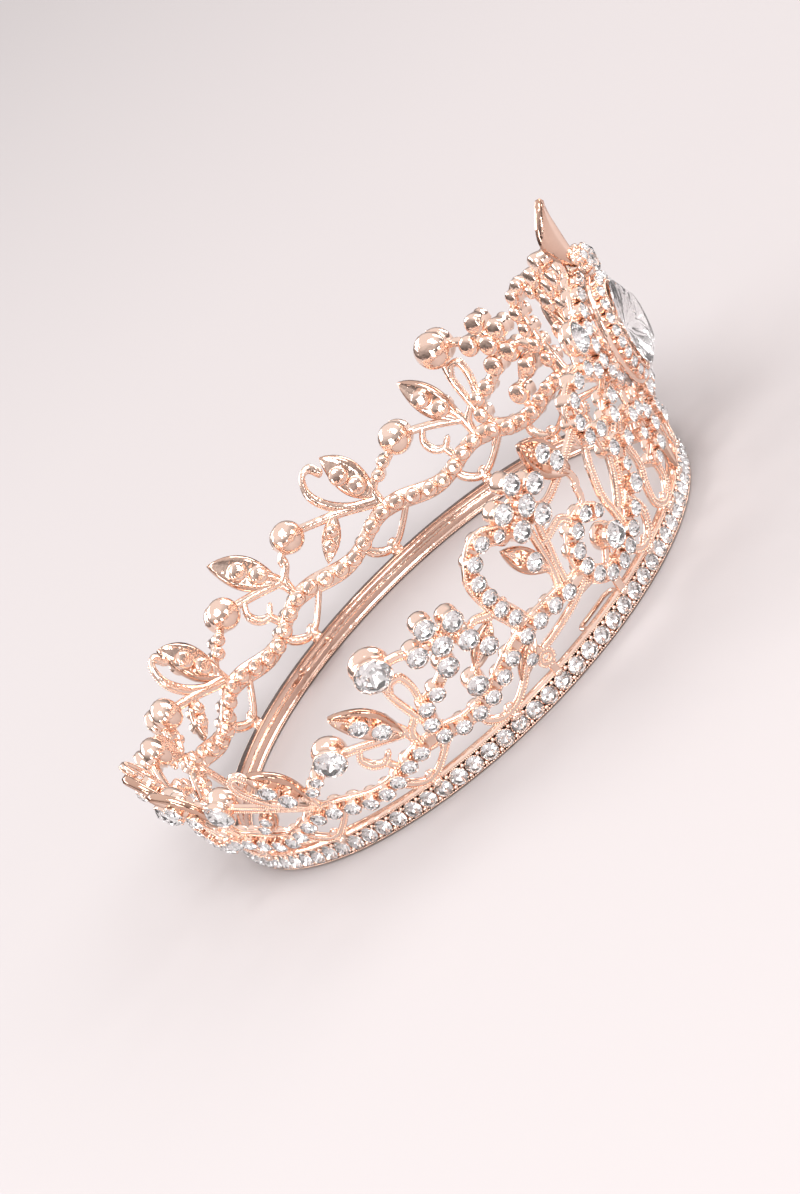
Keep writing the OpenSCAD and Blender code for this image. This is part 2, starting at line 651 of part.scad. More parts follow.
bezel_wall = 0.8;
bezel_h = 2.4;
plate_gap = 0.02;
halo_w = gem_w / 2 + bezel_wall + cup_d(halo_stone_d) / 2;
halo_h = gem_h / 2 + bezel_wall + cup_d(halo_stone_d) / 2;
plate_out = wall_t + plate_lift;
plate_top = plate_out + plate_t;
post_d = 1.6;
post_ring = 7.5;
halo_cup_h = 1.9;

module oval(w, h) {
  steps = 48;
  polygon([for (k = [0 : steps - 1]) [w / 2 * cos(360 * k / steps), h / 2 * sin(360 * k / steps)]]);
}

// The parameter along an oval for step k of n, evened out so that the stones keep their pitch
function even(k, n) = let (a = 360 * (k + 0.5) / n) a + 5.8 * sin(2 * a);
function halo_point(k) = let (a = even(k, halo_count)) [halo_w * sin(a), halo_h * cos(a)];
crest_points = [[0, halo_h + 4.6], [-2, halo_h + 8], [2, halo_h + 8]];
halo_points = concat([for (k = [0 : halo_count - 1]) halo_point(k)], crest_points);

// Places on the front plane, where y = 0 is the middle of the centre stone
module on_front(out) {
  on_plane(0, out) translate([0, high(gem_z) / cos(flare)]) children();
}

module medallion_plate() {
  color(rose_gold) on_front(plate_out) linear_extrude(height = plate_t) offset(delta = blend)
    difference() {
      union() {
        oval(2 * halo_w + cup_d(halo_stone_d), 2 * halo_h + cup_d(halo_stone_d));
        for (p = crest_points) translate(p) circle(d = cup_d(halo_stone_d) + pad_edge);
        translate([0, halo_h + 3]) square([2.4, 8], center = true);
      }
      oval(gem_w - 4, gem_h - 4);
    }
}

module halo_cups() {
  color(rose_gold) for (p = halo_points)
    on_front(plate_top) translate(p) cup(halo_stone_d, halo_cup_h);
}

module halo_stones() {
  color(crystal) for (p = halo_points)
    on_front(plate_top + seat_z(halo_stone_d, halo_cup_h)) translate(p) round_stone(halo_stone_d);
}

module medallion_posts() {
  color(rose_gold) for (a = [45 : 90 : 315])
    on_plane(0, wall_t + plate_gap)
      translate([post_ring * sin(a), high(panel_z) / cos(flare) + post_ring * cos(a)])
        cylinder(d = post_d, h = plate_lift - 2 * plate_gap);
}

module centre_bezel() {
  color(rose_gold) on_front(plate_top + plate_gap) linear_extrude(height = bezel_h)
    difference() {
      oval(gem_w + 2 * bezel_wall, gem_h + 2 * bezel_wall);
      oval(gem_w + 2 * seat_gap, gem_h + 2 * seat_gap);
    }
}

module gem(w, h, t, girdle_z) {
  thin = 0.01;
  hull() {
    linear_extrude(height = thin) oval(0.5 * w, 0.5 * h);
    translate([0, 0, girdle_z]) linear_extrude(height = gem_edge) oval(w, h);
    translate([0, 0, t - thin]) linear_extrude(height = thin) oval(0.6 * w, 0.6 * h);
  }
}

module centre_stone() {
  color(crystal) on_front(plate_top + plate_gap) gem(gem_w, gem_h, gem_t, bezel_h - gem_edge);
}

// ---- oval stones beside the medallion ----

side_bezel_h = 2.6;
side_gem_t = 3.4;
side_floor = 0.5;

module at_side_gem(out) {
  w = panel_windows[len(panel_windows) - 1];
  mid = (w[0] + w[1]) / 2;
  on_plane(mid, wall_t + out) translate(flat(side_gem_at, mid)) children();
}

module side_bezel() {
  at_side_gem(plate_gap) difference() {
    linear_extrude(height = side_bezel_h)
      oval(side_gem_w + 2 * cup_wall, side_gem_h + 2 * cup_wall);
    translate([0, 0, side_floor]) linear_extrude(height = side_bezel_h)
      oval(side_gem_w + 2 * seat_gap, side_gem_h + 2 * seat_gap);
  }
}

module side_gem() {
  at_side_gem(side_floor + 2 * plate_gap)
    gem(side_gem_w, side_gem_h, side_gem_t, side_bezel_h - side_floor - gem_edge);
}

module side_bezels() {
  color(rose_gold) {
    side_bezel();
    right_side() side_bezel();
  }
}

module side_stones() {
  color(crystal) {
    side_gem();
    right_side() side_gem();
  }
}

// ---- leaf on top of the front ----

leaf_t = 1.6;
// Height of the tab that the leaf is fixed to, where the leaf starts to lean away
tab_z = 72;
tab_y = high(tab_z) / cos(flare);
leaf_tip_y = tab_y + (crown_h - tab_y * cos(flare)) / cos(flare + top_leaf_lean);
function up_slope(y) = [0, y * cos(flare) / rise];

module top_leaf() {
  $mid = 0;
  color(rose_gold) on_plane(0, -plate_gap) translate([0, tab_y, 0])
    rotate([top_leaf_lean, 0, 0]) translate([0, -tab_y, -leaf_t])
    linear_extrude(height = leaf_t)
      almond(up_slope(leaf_tip_y - top_leaf_l), up_slope(leaf_tip_y), top_leaf_w);
}

// ---- ornament at the middle of the back ----

back_at = [180, 18];
back_windows = [[back_from, 360 - back_from, 0, sky]];
back_stones = [[back_at[0], back_at[1], vine_stone_d]];

module back_ornament() {
  casting(back_windows, back_stones) {
    union() {
      strand([for (a = [back_from - 2 : 2 : 186]) [a, vine_z(a > 180 ? 360 - a : a)]], vine_w);
      spot(back_at, 7);
      almond([180, 19], [180, 30], 4.4);
      strand([[175, 24.4], [177.6, 25.6], [180, 24], [182.4, 25.6], [185, 24.4]], 1.8);
      strand([[180, 12], [180, 5.2]], 2.6);
    }
  }
}

module back_cup() { cup_group(back_windows, back_stones); }
module back_stone() { stone_group(back_windows, back_stones); }

base_band();
band_cups_left();
band_cups_right();
band_stones_left();
band_stones_right();
side_wire_left();
side_wire_right();
centre_panel();
centre_cups();
centre_stones();
lower_scroll_left();
lower_scroll_right();
upper_scroll_left();
upper_scroll_right();
scroll_cups_left();
scroll_cups_right();
scroll_stones_left();
scroll_stones_right();
blossom_casting_left();
blossom_casting_right();
blossom_cups_left();
blossom_cups_right();
blossom_stones_left();
blossom_stones_right();
spray_casting_left();
spray_casting_right();
spray_cups_left();
spray_cups_right();
spray_stones_left();
spray_stones_right();
leaf_unit_1_left();
leaf_unit_1_right();
leaf_unit_2_left();
leaf_unit_2_right();
leaf_unit_3_left();
leaf_unit_3_right();
leaf_unit_4_left();
leaf_unit_4_right();
garland_cups_left();
garland_cups_right();
garland_stones_left();
garland_stones_right();
back_ornament();
back_cup();
back_stone();
medallion_plate();
medallion_posts();
halo_cups();
halo_stones();
centre_bezel();
centre_stone();
side_bezels();
side_stones();
top_leaf();
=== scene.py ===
import math
import random

import bpy
import numpy as np
from mathutils import Matrix, Vector


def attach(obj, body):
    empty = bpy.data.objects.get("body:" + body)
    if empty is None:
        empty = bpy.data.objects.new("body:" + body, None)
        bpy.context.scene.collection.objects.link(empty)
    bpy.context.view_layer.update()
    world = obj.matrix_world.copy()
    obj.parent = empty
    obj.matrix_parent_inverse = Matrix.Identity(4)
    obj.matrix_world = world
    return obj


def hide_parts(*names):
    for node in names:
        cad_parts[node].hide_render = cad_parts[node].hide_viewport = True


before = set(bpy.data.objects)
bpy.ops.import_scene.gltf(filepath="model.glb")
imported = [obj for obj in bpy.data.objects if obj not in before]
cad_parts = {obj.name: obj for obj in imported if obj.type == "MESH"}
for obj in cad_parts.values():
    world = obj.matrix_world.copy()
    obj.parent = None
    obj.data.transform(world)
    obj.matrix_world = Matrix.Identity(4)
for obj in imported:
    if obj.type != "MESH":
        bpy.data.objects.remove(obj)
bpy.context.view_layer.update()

MM = 0.001
UP = [0, 0, 1]

# Sizes are in millimetres and degrees, in the CAD frame. These repeat sizes of part.scad.
BAND_R = 73.0
BAND_T = 1.0
BAND_BACK = BAND_R + BAND_T
CHANNEL_H = 5.64
STONES_IN_BAND = 96
WALL_R = BAND_R + 1.4
WALL_T = 1.5
FLARE = math.radians(14)
WIRE_D = 1.3
WIRE_Z = 4.9
WIRE_FROM = 36.0
LOOP_SWEEP = 7.0
LOOP_BEND = 2.4
PITCH = 24.4
FIRST_FOOT = 85.6
BACK_FROM = 176.0
PANEL_Z = 49.0
RING_D = 29.0
POST_RING_R = 7.5
SIDE_GEM_AT = [13.4, 58.0]
GEM_W = 14.0
GEM_H = 24.0
GEM_Y = 47.0 / math.cos(FLARE)
PLATE_OUT = WALL_T + 2.5
PLATE_T = 1.4

# Strands: steps of the curve between two points, and their widening over the flat windows of
# the CAD, whose edges they round
STRAND_STEPS = 5
FULLNESS = 1.28
VINE_W = 3.8
# Cross-sections, as shares of half the width and of the wall's thickness
ROUNDED = [(-0.62, 0.0), (-0.93, 0.2), (-1.0, 0.5), (-0.87, 0.8), (-0.5, 1.0), (0.0, 1.08),
           (0.5, 1.0), (0.87, 0.8), (1.0, 0.5), (0.93, 0.2), (0.62, 0.0), (0.0, -0.1)]
TROUGH = [(-0.85, 0.0), (-1.0, 0.3), (-0.97, 0.85), (-0.8, 1.0), (-0.62, 0.86), (0.62, 0.86),
          (0.8, 1.0), (0.97, 0.85), (1.0, 0.3), (0.85, 0.0), (0.0, -0.12)]
# How the end of a strand and of a wire closes: distance past the end and scale, in half widths
STRAND_END = [(0.45, 0.9), (0.8, 0.62), (0.98, 0.25)]
WIRE_END = [(0.4, 0.92), (0.75, 0.66), (0.95, 0.3)]
# Grains along a strand: their pitch, and the rows they stand in as shares of half the width
TROUGH_GRAINS = (0.62, (-0.72, 0.72))
ROPE_GRAINS = (0.7, (-0.62, 0.62))
GRAIN_OUT = WALL_T * 1.02
GRAIN_FILL = 0.52

# Stones: how much wider they are drawn than in the CAD on each side, how far they stand
# proud, their depth and crown as shares of the diameter, and how much each one may lean
STONE_SHOWN = 0.28
STONE_PROUD = 0.1
STONE_DEPTH = 0.36
STONE_CROWN = 0.25
STONE_LEAN = 0.04
# Cups: wall, floor under the stone, and depth of the back. A stone wider than BERRY_FROM is
# a berry, and its cup stands higher and has a ball for a back.
CUP_WALL = 0.45
CUP_FLOOR = 0.3
CUP_BACK = 1.7
BERRY_FROM = 7
BERRY_RISE = 1.2
BERRY_BACK = 2.9
# The halo's stones lean away from the centre stone, and the backs of their cups are short
HALO_SPLAY = 0.4
HALO_BACK = -1.0

# Relief of a leaf: its rim and vein over the dished face, the dish, and the hollow behind the
# rim. The half width is where they reach full height, and the outline's power rounds its ends.
LEAF_RIM = 1.2
LEAF_VEIN = 0.28
LEAF_DISH = 0.25
LEAF_HOLLOW = 0.45
LEAF_FULL_AT = 1.2
LEAF_POWER = 0.8
LEAF_GRAIN_R = 0.3
# Top leaf, which leans back about its tip, stands forward and is folded along its vein
LEAF_TIP = 85.5
TOP_LEAF_L = 21
TOP_LEAF_W = 8.8
TOP_LEAF_T = 1.3
TOP_LEAF_FOLD = 4.2
TOP_LEAF_LEAN = math.radians(-4)
TOP_LEAF_FORWARD = 2.2

dice = random.Random(7)


class Shape:
    """Vertices in millimetres and faces, gathered into one mesh."""

    def __init__(self):
        self.verts = []
        self.faces = []
        self.smooth = []
        self.slots = []
        self.count = 0

    def add(self, verts, faces, smooth=True):
        """Adds vertices with their faces, and returns the number of the first one."""
        verts = np.asarray(verts, float).reshape(-1, 3)
        first = self.count
        self.verts.append(verts)
        self.count += len(verts)
        self.skin(first, faces, smooth)
        return first

    def skin(self, first, faces, smooth=True, slot=0):
        """Adds faces over the vertices from number first on, with a material slot."""
        self.faces += [tuple(i + first for i in f) for f in faces]
        self.smooth += [smooth] * len(faces)
        self.slots += [slot] * len(faces)

    def mirrored(self):
        """The same shape on the other side of the object."""
        other = Shape()
        other.verts = [v * [-1, 1, 1] for v in self.verts]
        other.faces = [f[::-1] for f in self.faces]
        other.smooth = list(self.smooth)
        other.slots = list(self.slots)
        other.count = self.count
        return other


# ---- places ----

def at(a, r, z):
    """Point at an angle from the front in degrees, a radius and a height."""
    t = math.radians(a)
    return np.array([r * math.sin(t), -r * math.cos(t), z])


def wall_r(z):
    """Radius of the wall's inside at a height."""
    return WALL_R + math.tan(FLARE) * z


def wall(a, z, out=0.0):
    """Point on the cone of the wall: angle from the front in degrees, height, and distance out."""
    return at(a, wall_r(z) + out * math.cos(FLARE), z - out * math.sin(FLARE))


def flat(p):
    """A wall point as lengths, angle times radius and slant height."""
    return np.array([math.radians(p[0]) * wall_r(p[1]), p[1] / math.cos(FLARE)])


def curved(x, y, out=0.0):
    """The reverse of flat, as a point in space."""
    z = y * math.cos(FLARE)
    return wall(math.degrees(x / wall_r(z)), z, out)


def smooth_line(points, n):
    """Catmull-Rom curve through points, n steps to a span."""
    p = [np.asarray(q, float) for q in points]
    p = [2 * p[0] - p[1]] + p + [2 * p[-1] - p[-2]]
    line = []
    for i in range(1, len(p) - 2):
        a, b, c, d = p[i - 1:i + 3]
        for k in range(n):
            t = k / n
            line.append(0.5 * (2 * b + (c - a) * t + (2 * a - 5 * b + 4 * c - d) * t * t
                               + (3 * b - a - 3 * c + d) * t ** 3))
    line.append(p[-2])
    return line


def on_front(x, y, out):
    """A place on the flat front plane; y runs up the slope from the band's foot."""
    return np.array([x, -WALL_R - y * math.sin(FLARE) - out * math.cos(FLARE),
                     y * math.cos(FLARE) - out * math.sin(FLARE)])


FRONT_N = np.array([0, -math.cos(FLARE), -math.sin(FLARE)])
FRONT_UP = np.array([0, -math.sin(FLARE), math.cos(FLARE)])


def unit(v):
    return v / (np.linalg.norm(v) + 1e-12)


# ---- basic solids ----

def loft(shape, rings, closed=False):
    """Skin over rings of the same number of points, with end caps unless it closes on itself."""
    m = len(rings[0])
    n = len(rings)
    faces = []
    for i in range(n if closed else n - 1):
        a = i * m
        b = ((i + 1) % n) * m
        faces += [(a + k, b + k, b + (k + 1) % m, a + (k + 1) % m) for k in range(m)]
    if not closed:
        faces.append(tuple(range(m)))
        faces.append(tuple((n - 1) * m + k for k in reversed(range(m))))
    shape.add(np.concatenate(rings), faces)


def turned(shape, profile, centre, axis, up, segments):
    """Solid of revolution; profile is (radius, height along the axis), its ends at radius 0."""
    axis = unit(axis)
    side = unit(np.cross(up, axis))
    top = np.cross(axis, side)
    verts = [centre + axis * profile[0][1]]
    for r, h in profile[1:-1]:
        for k in range(segments):
            t = 2 * math.pi * k / segments
            verts.append(centre + axis * h + side * (r * math.cos(t)) + top * (r * math.sin(t)))
    verts.append(centre + axis * profile[-1][1])
    rows = len(profile) - 2
    faces = []
    for k in range(segments):
        j = (k + 1) % segments
        faces.append((0, 1 + j, 1 + k))
        for i in range(rows - 1):
            a = 1 + i * segments
            b = a + segments
            faces.append((a + k, a + j, b + j, b + k))
        a = 1 + (rows - 1) * segments
        faces.append((a + k, a + j, len(verts) - 1))
    shape.add(verts, faces)


def bead(shape, centre, normal, r, lift=1.0):
    """A small round grain of metal."""
    normal = unit(normal)
    side = unit(np.cross(normal, [0.3, 0.2, 0.93]))
    top = np.cross(normal, side)
    verts = []
    for level, scale in ((-0.3, 0.9), (0.35, 0.93), (0.8, 0.6)):
        for k in range(6):
            t = math.pi * k / 3
            verts.append(centre + r * (scale * (math.cos(t) * side + math.sin(t) * top)
                                       + level * lift * normal))
    verts.append(centre + r * lift * normal)
    faces = []
    for i in range(2):
        faces += [(6 * i + k, 6 * i + (k + 1) % 6, 6 * i + 6 + (k + 1) % 6, 6 * i + 6 + k)
                  for k in range(6)]
    faces += [(12 + k, 12 + (k + 1) % 6, 18) for k in range(6)]
    faces.append(tuple(reversed(range(6))))
    shape.add(verts, faces)


def end_shifts(i, n, end):
    """The rings at point i of n on a path, with the rounding of the path's two ends."""
    first = [(-along, scale) for along, scale in reversed(end)] if i == 0 else []
    return first + [(0.0, 1.0)] + (end if i == n - 1 else [])


def strand(shape, points, w, grain=None, section=ROUNDED):
    """A cast strand that follows the curved wall, rounded at both ends."""
    line = smooth_line([flat(p) for p in points], STRAND_STEPS)
    n = len(line)
    half = w / 2 * FULLNESS
    rings = []
    grains = []
    run = 0.0
    for i in range(n):
        d = unit(line[min(i + 1, n - 1)] - line[max(i - 1, 0)])
        across = np.array([-d[1], d[0]])
        for along, scale in end_shifts(i, n, STRAND_END):
            p = line[i] + d * along * half
            ring = []
            for u, h in section:
                q = p + across * u * half * scale
                out = WALL_T * (0.5 + (h - 0.5) * (0.5 + 0.5 * scale))
                ring.append(curved(q[0], q[1], out))
            rings.append(np.array(ring))
        if grain and i < n - 1:
            step = np.linalg.norm(line[i + 1] - line[i])
            while run < step:
                q = line[i] + d * run
                grains += [q + across * side * half for side in grain[1]]
                run += grain[0]
            run -= step
    loft(shape, rings)
    for c in grains:
        here = curved(c[0], c[1], GRAIN_OUT)
        bead(shape, here, here - curved(c[0], c[1], GRAIN_OUT - 1), grain[0] * GRAIN_FILL)


def rope(shape, points, w):
    """A strand with two rows of grains over its back."""
    strand(shape, points, w, ROPE_GRAINS)


def trough(shape, points, w):
    """A strand with a trough between two rows of grains, for a row of stones."""
    strand(shape, points, w, TROUGH_GRAINS, TROUGH)


def hump(x, place, width):
    """A smooth ridge, 1 at its place and fading over its width."""
    return math.exp(-((x - place) / width) ** 2)


def leaf(shape, base, tip, w, lift=0.0, border=0.9, t=WALL_T, grain=False, fold=0.0):
    """A relief leaf: raised border, dished face with a vein, tip turned outward by lift.

    The two halves are bent back from the vein by fold, and grain sets a row of grains on it.
    """
    a, b = flat(base), flat(tip)
    length = np.linalg.norm(b - a)
    d = (b - a) / length
    across = np.array([-d[1], d[0]])
    rows, cols = 16, 10
    top, under = [], []
    for i in range(rows + 1):
        # the rows stop just short of the two tips, where the leaf would have no width
        u = 0.004 + 0.992 * i / rows
        half = w / 2 * math.sin(math.pi * u) ** LEAF_POWER
        edge = min(1.0, half / LEAF_FULL_AT)
        for j in range(cols + 1):
            v = -1 + 2 * j / cols
            q = a + (b - a) * u + across * v * half
            curl = lift * u ** 3 - fold * v * v * math.sin(math.pi * u)
            dish = LEAF_DISH * (1 - v * v)
            rim = LEAF_RIM * border * hump(abs(v), 0.78, 0.3)
            vein = LEAF_VEIN * hump(v, 0, 0.13)
            chamfer = 0.5 * max(0.0, abs(v) - 0.85) / 0.15
            top.append(curved(q[0], q[1], t * 0.9 + curl + (rim - dish + vein) * edge - chamfer))
            hollow = LEAF_HOLLOW * hump(abs(v), 0.74, 0.2) * edge
            under.append(curved(q[0], q[1], curl + 0.3 - dish - hollow))
    n = len(top)
    m = cols + 1
    faces = []
    for i in range(rows):
        for j in range(cols):
            k = i * m + j
            faces.append((k, k + 1, k + m + 1, k + m))
            faces.append((n + k, n + k + m, n + k + m + 1, n + k + 1))
    for i in range(rows):
        k = i * m
        faces.append((k, k + m, n + k + m, n + k))
        k += cols
        faces.append((k, n + k, n + k + m, k + m))
    for j in range(cols):
        faces.append((j, n + j, n + j + 1, j + 1))
        k = rows * m + j
        faces.append((k, k + 1, n + k + 1, n + k))
    shape.add(top + under, faces)
    if grain:
        count = int(length / ROPE_GRAINS[0])
        for k in range(2, count - 1):
            q = a + (b - a) * k / count
            here = curved(q[0], q[1], t + lift * (k / count) ** 3)
            bead(shape, here, here - curved(q[0], q[1], 0), LEAF_GRAIN_R)


def pad(shape, p, d):
    """A round boss of the wall."""
    r = d / 2
    profile = [(0, -0.1), (0.7 * r, 0), (0.95 * r, 0.3), (r, 0.6 * WALL_T), (0.9 * r, WALL_T),
               (0, WALL_T)]
    turned(shape, profile, wall(*p), wall(*p, out=1) - wall(*p), UP, 20)


def solder(shape, a, w):
    """A solder joint where a foot meets the band."""
    c = wall(a, 5.5, WALL_T * 0.4)
    r = w * 0.62
    profile = [(0, -0.7 * r)] + [(r * math.cos(t), 0.7 * r * math.sin(t))
                                for t in np.radians([-50, -20, 10, 40, 65])] + [(0, 0.7 * r)]
    turned(shape, profile, c, UP, [1, 0, 0.1], 14)


# ---- stones, read from the CAD nodes so that each one lies where its cup is ----

def solids_of(node):
    """The points of each separate solid in a CAD node, in millimetres."""
    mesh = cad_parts[node].data
    co = np.empty(len(mesh.vertices) * 3)
    mesh.vertices.foreach_get("co", co)
    co = co.reshape(-1, 3) / MM
    keys, index = np.unique(np.round(co, 2), axis=0, return_inverse=True)
    index = index.reshape(-1)
    parent = list(range(len(keys)))

    def root(i):
        while parent[i] != i:
            parent[i] = parent[parent[i]]
            i = parent[i]
        return i

    ends = np.empty(len(mesh.edges) * 2, int)
    mesh.edges.foreach_get("vertices", ends)
    for a, b in ends.reshape(-1, 2):
        ra, rb = root(index[a]), root(index[b])
        if ra != rb:
            parent[ra] = rb
    groups = {}
    for i in range(len(keys)):
        groups.setdefault(root(i), []).append(keys[i])
    return sorted((np.array(g) for g in groups.values()), key=lambda g: tuple(g.mean(axis=0)))


def own_axes(points):
    """Middle of a flat solid, the short axis out of the object, and its two other axes."""
    c = points.mean(axis=0)
    n, s, t = np.linalg.eigh(np.cov((points - c).T))[1].T
    return c, (-n if n @ [c[0], c[1], 0] < 0 else n), s, t


def round_seats(node):
    """(girdle centre, axis, diameter) of each round stone in a node."""
    seats = []
    for points in solids_of(node):
        c, n, s, t = own_axes(points)
        h = (points - c) @ n
        flat_part = (points - c) - np.outer(h, n)
        middle = (s * ((flat_part @ s).max() + (flat_part @ s).min()) / 2
                  + t * ((flat_part @ t).max() + (flat_part @ t).min()) / 2)
        radial = np.linalg.norm(flat_part - middle, axis=1)
        girdle = radial > 0.97 * radial.max()
        seats.append((c + middle + n * h[girdle].min(), n, 2 * radial.max()))
    return seats


def oval_seats(node):
    """(centre of the back, axis, long direction, width, length, depth) of each oval stone."""
    seats = []
    for points in solids_of(node):
        c, n, s, t = own_axes(points)
        if t[2] < 0:
            t = -t
        q = (points - c) @ np.array([n, s, t]).T
        lo, hi = q.min(axis=0), q.max(axis=0)
        depth, w, l = hi - lo
        mid = (lo + hi) / 2
        seats.append((c + n * lo[0] + s * mid[1] + t * mid[2], n, t, w, l, depth))
    return seats


def brilliant(shape, centre, axis, up, w, l, below, above, n=8, table=0.56, turn=0.0,
              halves=False):
    """A faceted stone: table, stars, kites and halves above, mains below, and halves if asked.

    Radii are shares of the half width w / 2 and half length l / 2, and n is the number of mains.
    """
    axis = unit(axis)
    side = unit(np.cross(up, axis))
    top = np.cross(axis, side)
    girdle = 0.035 * w

    def ring(radius, h, count, offset):
        out = []
        for k in range(count):
            t = turn + 2 * math.pi * (k + offset) / count
            out.append(centre + axis * h + side * (radius * w / 2 * math.cos(t))
                       + top * (radius * l / 2 * math.sin(t)))
        return out

    rings = [ring(table, above, n, 0), ring(0.79, girdle + 0.56 * (above - girdle), n, 0.5),
             ring(1.0, girdle, 2 * n, 0), ring(1.0, 0.0, 2 * n, 0)]
    if halves:
        rings.append(ring(0.3, -0.74 * below, n, 0.5))
    verts = sum(rings, []) + [centre - axis * below]
    b, c, d, e, culet = n, 2 * n, 4 * n, 6 * n, len(verts) - 1
    crown = [tuple(range(n))]
    pavilion = []
    for k in range(n):
        j = (k + 1) % n
        i = (k - 1) % n
        g0, g1, g2 = 2 * k, (2 * k + 1) % (2 * n), (2 * k + 2) % (2 * n)
        crown.append((k, b + k, j))
        crown.append((k, b + i, c + g0, b + k))
        crown.append((b + k, c + g0, c + g1))
        crown.append((b + k, c + g1, c + g2))
        crown.append((c + g0, d + g0, d + g1, c + g1))
        crown.append((c + g1, d + g1, d + g2, c + g2))
        if halves:
            pavilion.append((e + k, d + g1, d + g0))
            pavilion.append((e + k, d + g2, d + g1))
            pavilion.append((culet, e + k, d + g0, e + i))
        else:
            pavilion.append((culet, d + g2, d + g1, d + g0))
    first = shape.add(verts, crown, smooth=False)
    shape.skin(first, pavilion, smooth=False, slot=1)


def round_stones(seats):
    """The stones of a node, each turned and leaning a little as if set by hand."""
    shape = Shape()
    for c, n, d in seats:
        lean = np.array([dice.uniform(-STONE_LEAN, STONE_LEAN) for _ in range(3)])
        w = d + 2 * STONE_SHOWN
        brilliant(shape, c + STONE_PROUD * n, n + lean, UP, w, w, STONE_DEPTH * d,
                  STONE_CROWN * d, turn=dice.uniform(0, math.pi / 4))
    return shape


def cups(seats, back=CUP_BACK):
    """A bored cup round each stone, with grains over the rim and a domed back."""
    shape = Shape()
    for c, n, d in seats:
        berry = d > BERRY_FROM
        r = d / 2 + CUP_WALL
        rim = 0.04 * d + 0.12
        bore = d / 2 + STONE_SHOWN - 0.03
        tall = STONE_DEPTH * d + CUP_FLOOR
        if berry:
            tall += BERRY_RISE
            hips, ball, power = -tall, 1.08 * r, 1.0
            foot = hips - BERRY_BACK
            neck = [(ball, hips + 0.8), (0.95 * r, -0.52 * tall), (0.9 * r, -0.44 * tall),
                    (0.9 * r, -0.3 * tall), (0.98 * r, -0.2 * tall)]
        else:
            hips, ball, power = -tall - WALL_T, 1.04 * r, 0.5
            foot = hips - back
            neck = [(0.97 * r, -tall), (0.9 * r, -tall * 0.7), (0.95 * r, -tall * 0.35)]
        dome = [(ball * math.sin(t) ** power, hips + (foot - hips) * math.cos(t) ** power)
                for t in np.radians([22, 45, 67, 89.9])]
        mouth = [(r, 0.0), (r, rim - 0.12), (r - 0.1, rim), (bore + 0.1, rim - 0.02),
                 (bore, rim - 0.22), (bore, -0.05), (0.5 * bore, -0.22 * d), (0, -0.38 * d)]
        turned(shape, [(0, foot)] + dome + neck + mouth, c, n, UP, 28)
        side = unit(np.cross(UP, n))
        top = np.cross(n, side)
        count, size = (6, 0.32) if berry else (4, 0.24)
        start = dice.uniform(0, math.pi / 2)
        for k in range(count):
            t = start + 2 * math.pi * k / count
            radial = side * math.cos(t) + top * math.sin(t)
            bead(shape, c + n * (rim - 0.06) + radial * (bore + 0.06), n - 0.35 * radial, size,
                 1.3)
    return shape


def splayed(seats):
    """The halo's stones, leaning outward from the middle of the medallion."""
    middle = on_front(0, GEM_Y, PLATE_OUT)
    out = []
    for c, n, d in seats:
        away = c - middle
        away = away - n * (away @ n)
        out.append((c, unit(n + HALO_SPLAY * unit(away)), d))
    return out


# ---- the wall's cast pieces; places are [angle from the front, height] as in part.scad ----

def vine_z(a):
    """Height of the vine, which waves once in each leaf unit."""
    return 14.3 + 2 * math.cos(math.radians(360 * (a - 82.5) / PITCH))


def foot(i):
    """Angle of the foot of leaf unit i, which counts from 0."""
    return FIRST_FOOT + i * PITCH


def unit_lo(i):
    """Angle where leaf unit i begins."""
    return foot(i) - 4.9


def unit_hi(i):
    """Angle where leaf unit i ends."""
    return unit_lo(i + 1) if i < 3 else BACK_FROM


def berry_at(i):
    """Angle of the berry of leaf unit i."""
    return foot(i) + (10.2 if i % 2 == 0 else 14.4)


def foot_loop(s, f):
    """The loop under the vine and its foot on the band, at angle f."""
    rope(s, [[f - 7.4, 14], [f - 4, 10.4], [f - 0.8, 7.8], [f + 2, 7.6], [f + 4.6, 10.2],
             [f + 4.8, 13.4], [f + 3, 14.6]], 1.75)
    strand(s, [[f + 0.6, 8], [f + 0.6, 5.4]], 2.6)
    solder(s, f + 0.6, 2.8)


def leaf_a(s, f):
    """The upright leaf of the units 1 and 3, with a curled stem."""
    leaf(s, [f - 2.8, 22.5], [f + 3.8, 40], 7.2, lift=1.6, grain=True)
    strand(s, [[f - 3.2, 17], [f - 2.8, 23], [f - 1.5, 27]], 1.9)
    rope(s, [[f - 2.6, 22.5], [f + 2, 25.2], [f + 5.4, 27], [f + 7.6, 28]], 1.7)
    rope(s, [[f + 5, 26.6], [f + 6.6, 23.6], [f + 6, 20.4], [f + 4, 19], [f + 2.4, 20.4]], 1.6)
    strand(s, [[f + 4, 19], [f + 3.4, 16.4]], 1.5)


def leaf_b(s, f):
    """The leaf in a hook of the units 2 and 4, with a second leaf that hangs down."""
    leaf(s, [f - 3.9, 20], [f - 0.4, 38], 7.4, lift=1.4, grain=True)
    strand(s, [[f - 3.4, 16], [f - 3.6, 21]], 2.1)
    rope(s, [[f - 3.2, 19.6], [f + 1.4, 22.6], [f + 4.6, 27.4], [f + 5.8, 32.8],
             [f + 4.4, 37.2], [f + 2.4, 37.8], [f + 1.4, 35]], 1.75)
    rope(s, [[f - 3.4, 18.4], [f + 3, 23], [f + 8, 26], [f + 11.8, 28.2]], 1.7)
    leaf(s, [f + 4.4, 24.8], [f + 12.4, 16.2], 6.6, lift=0.4, border=0.6)


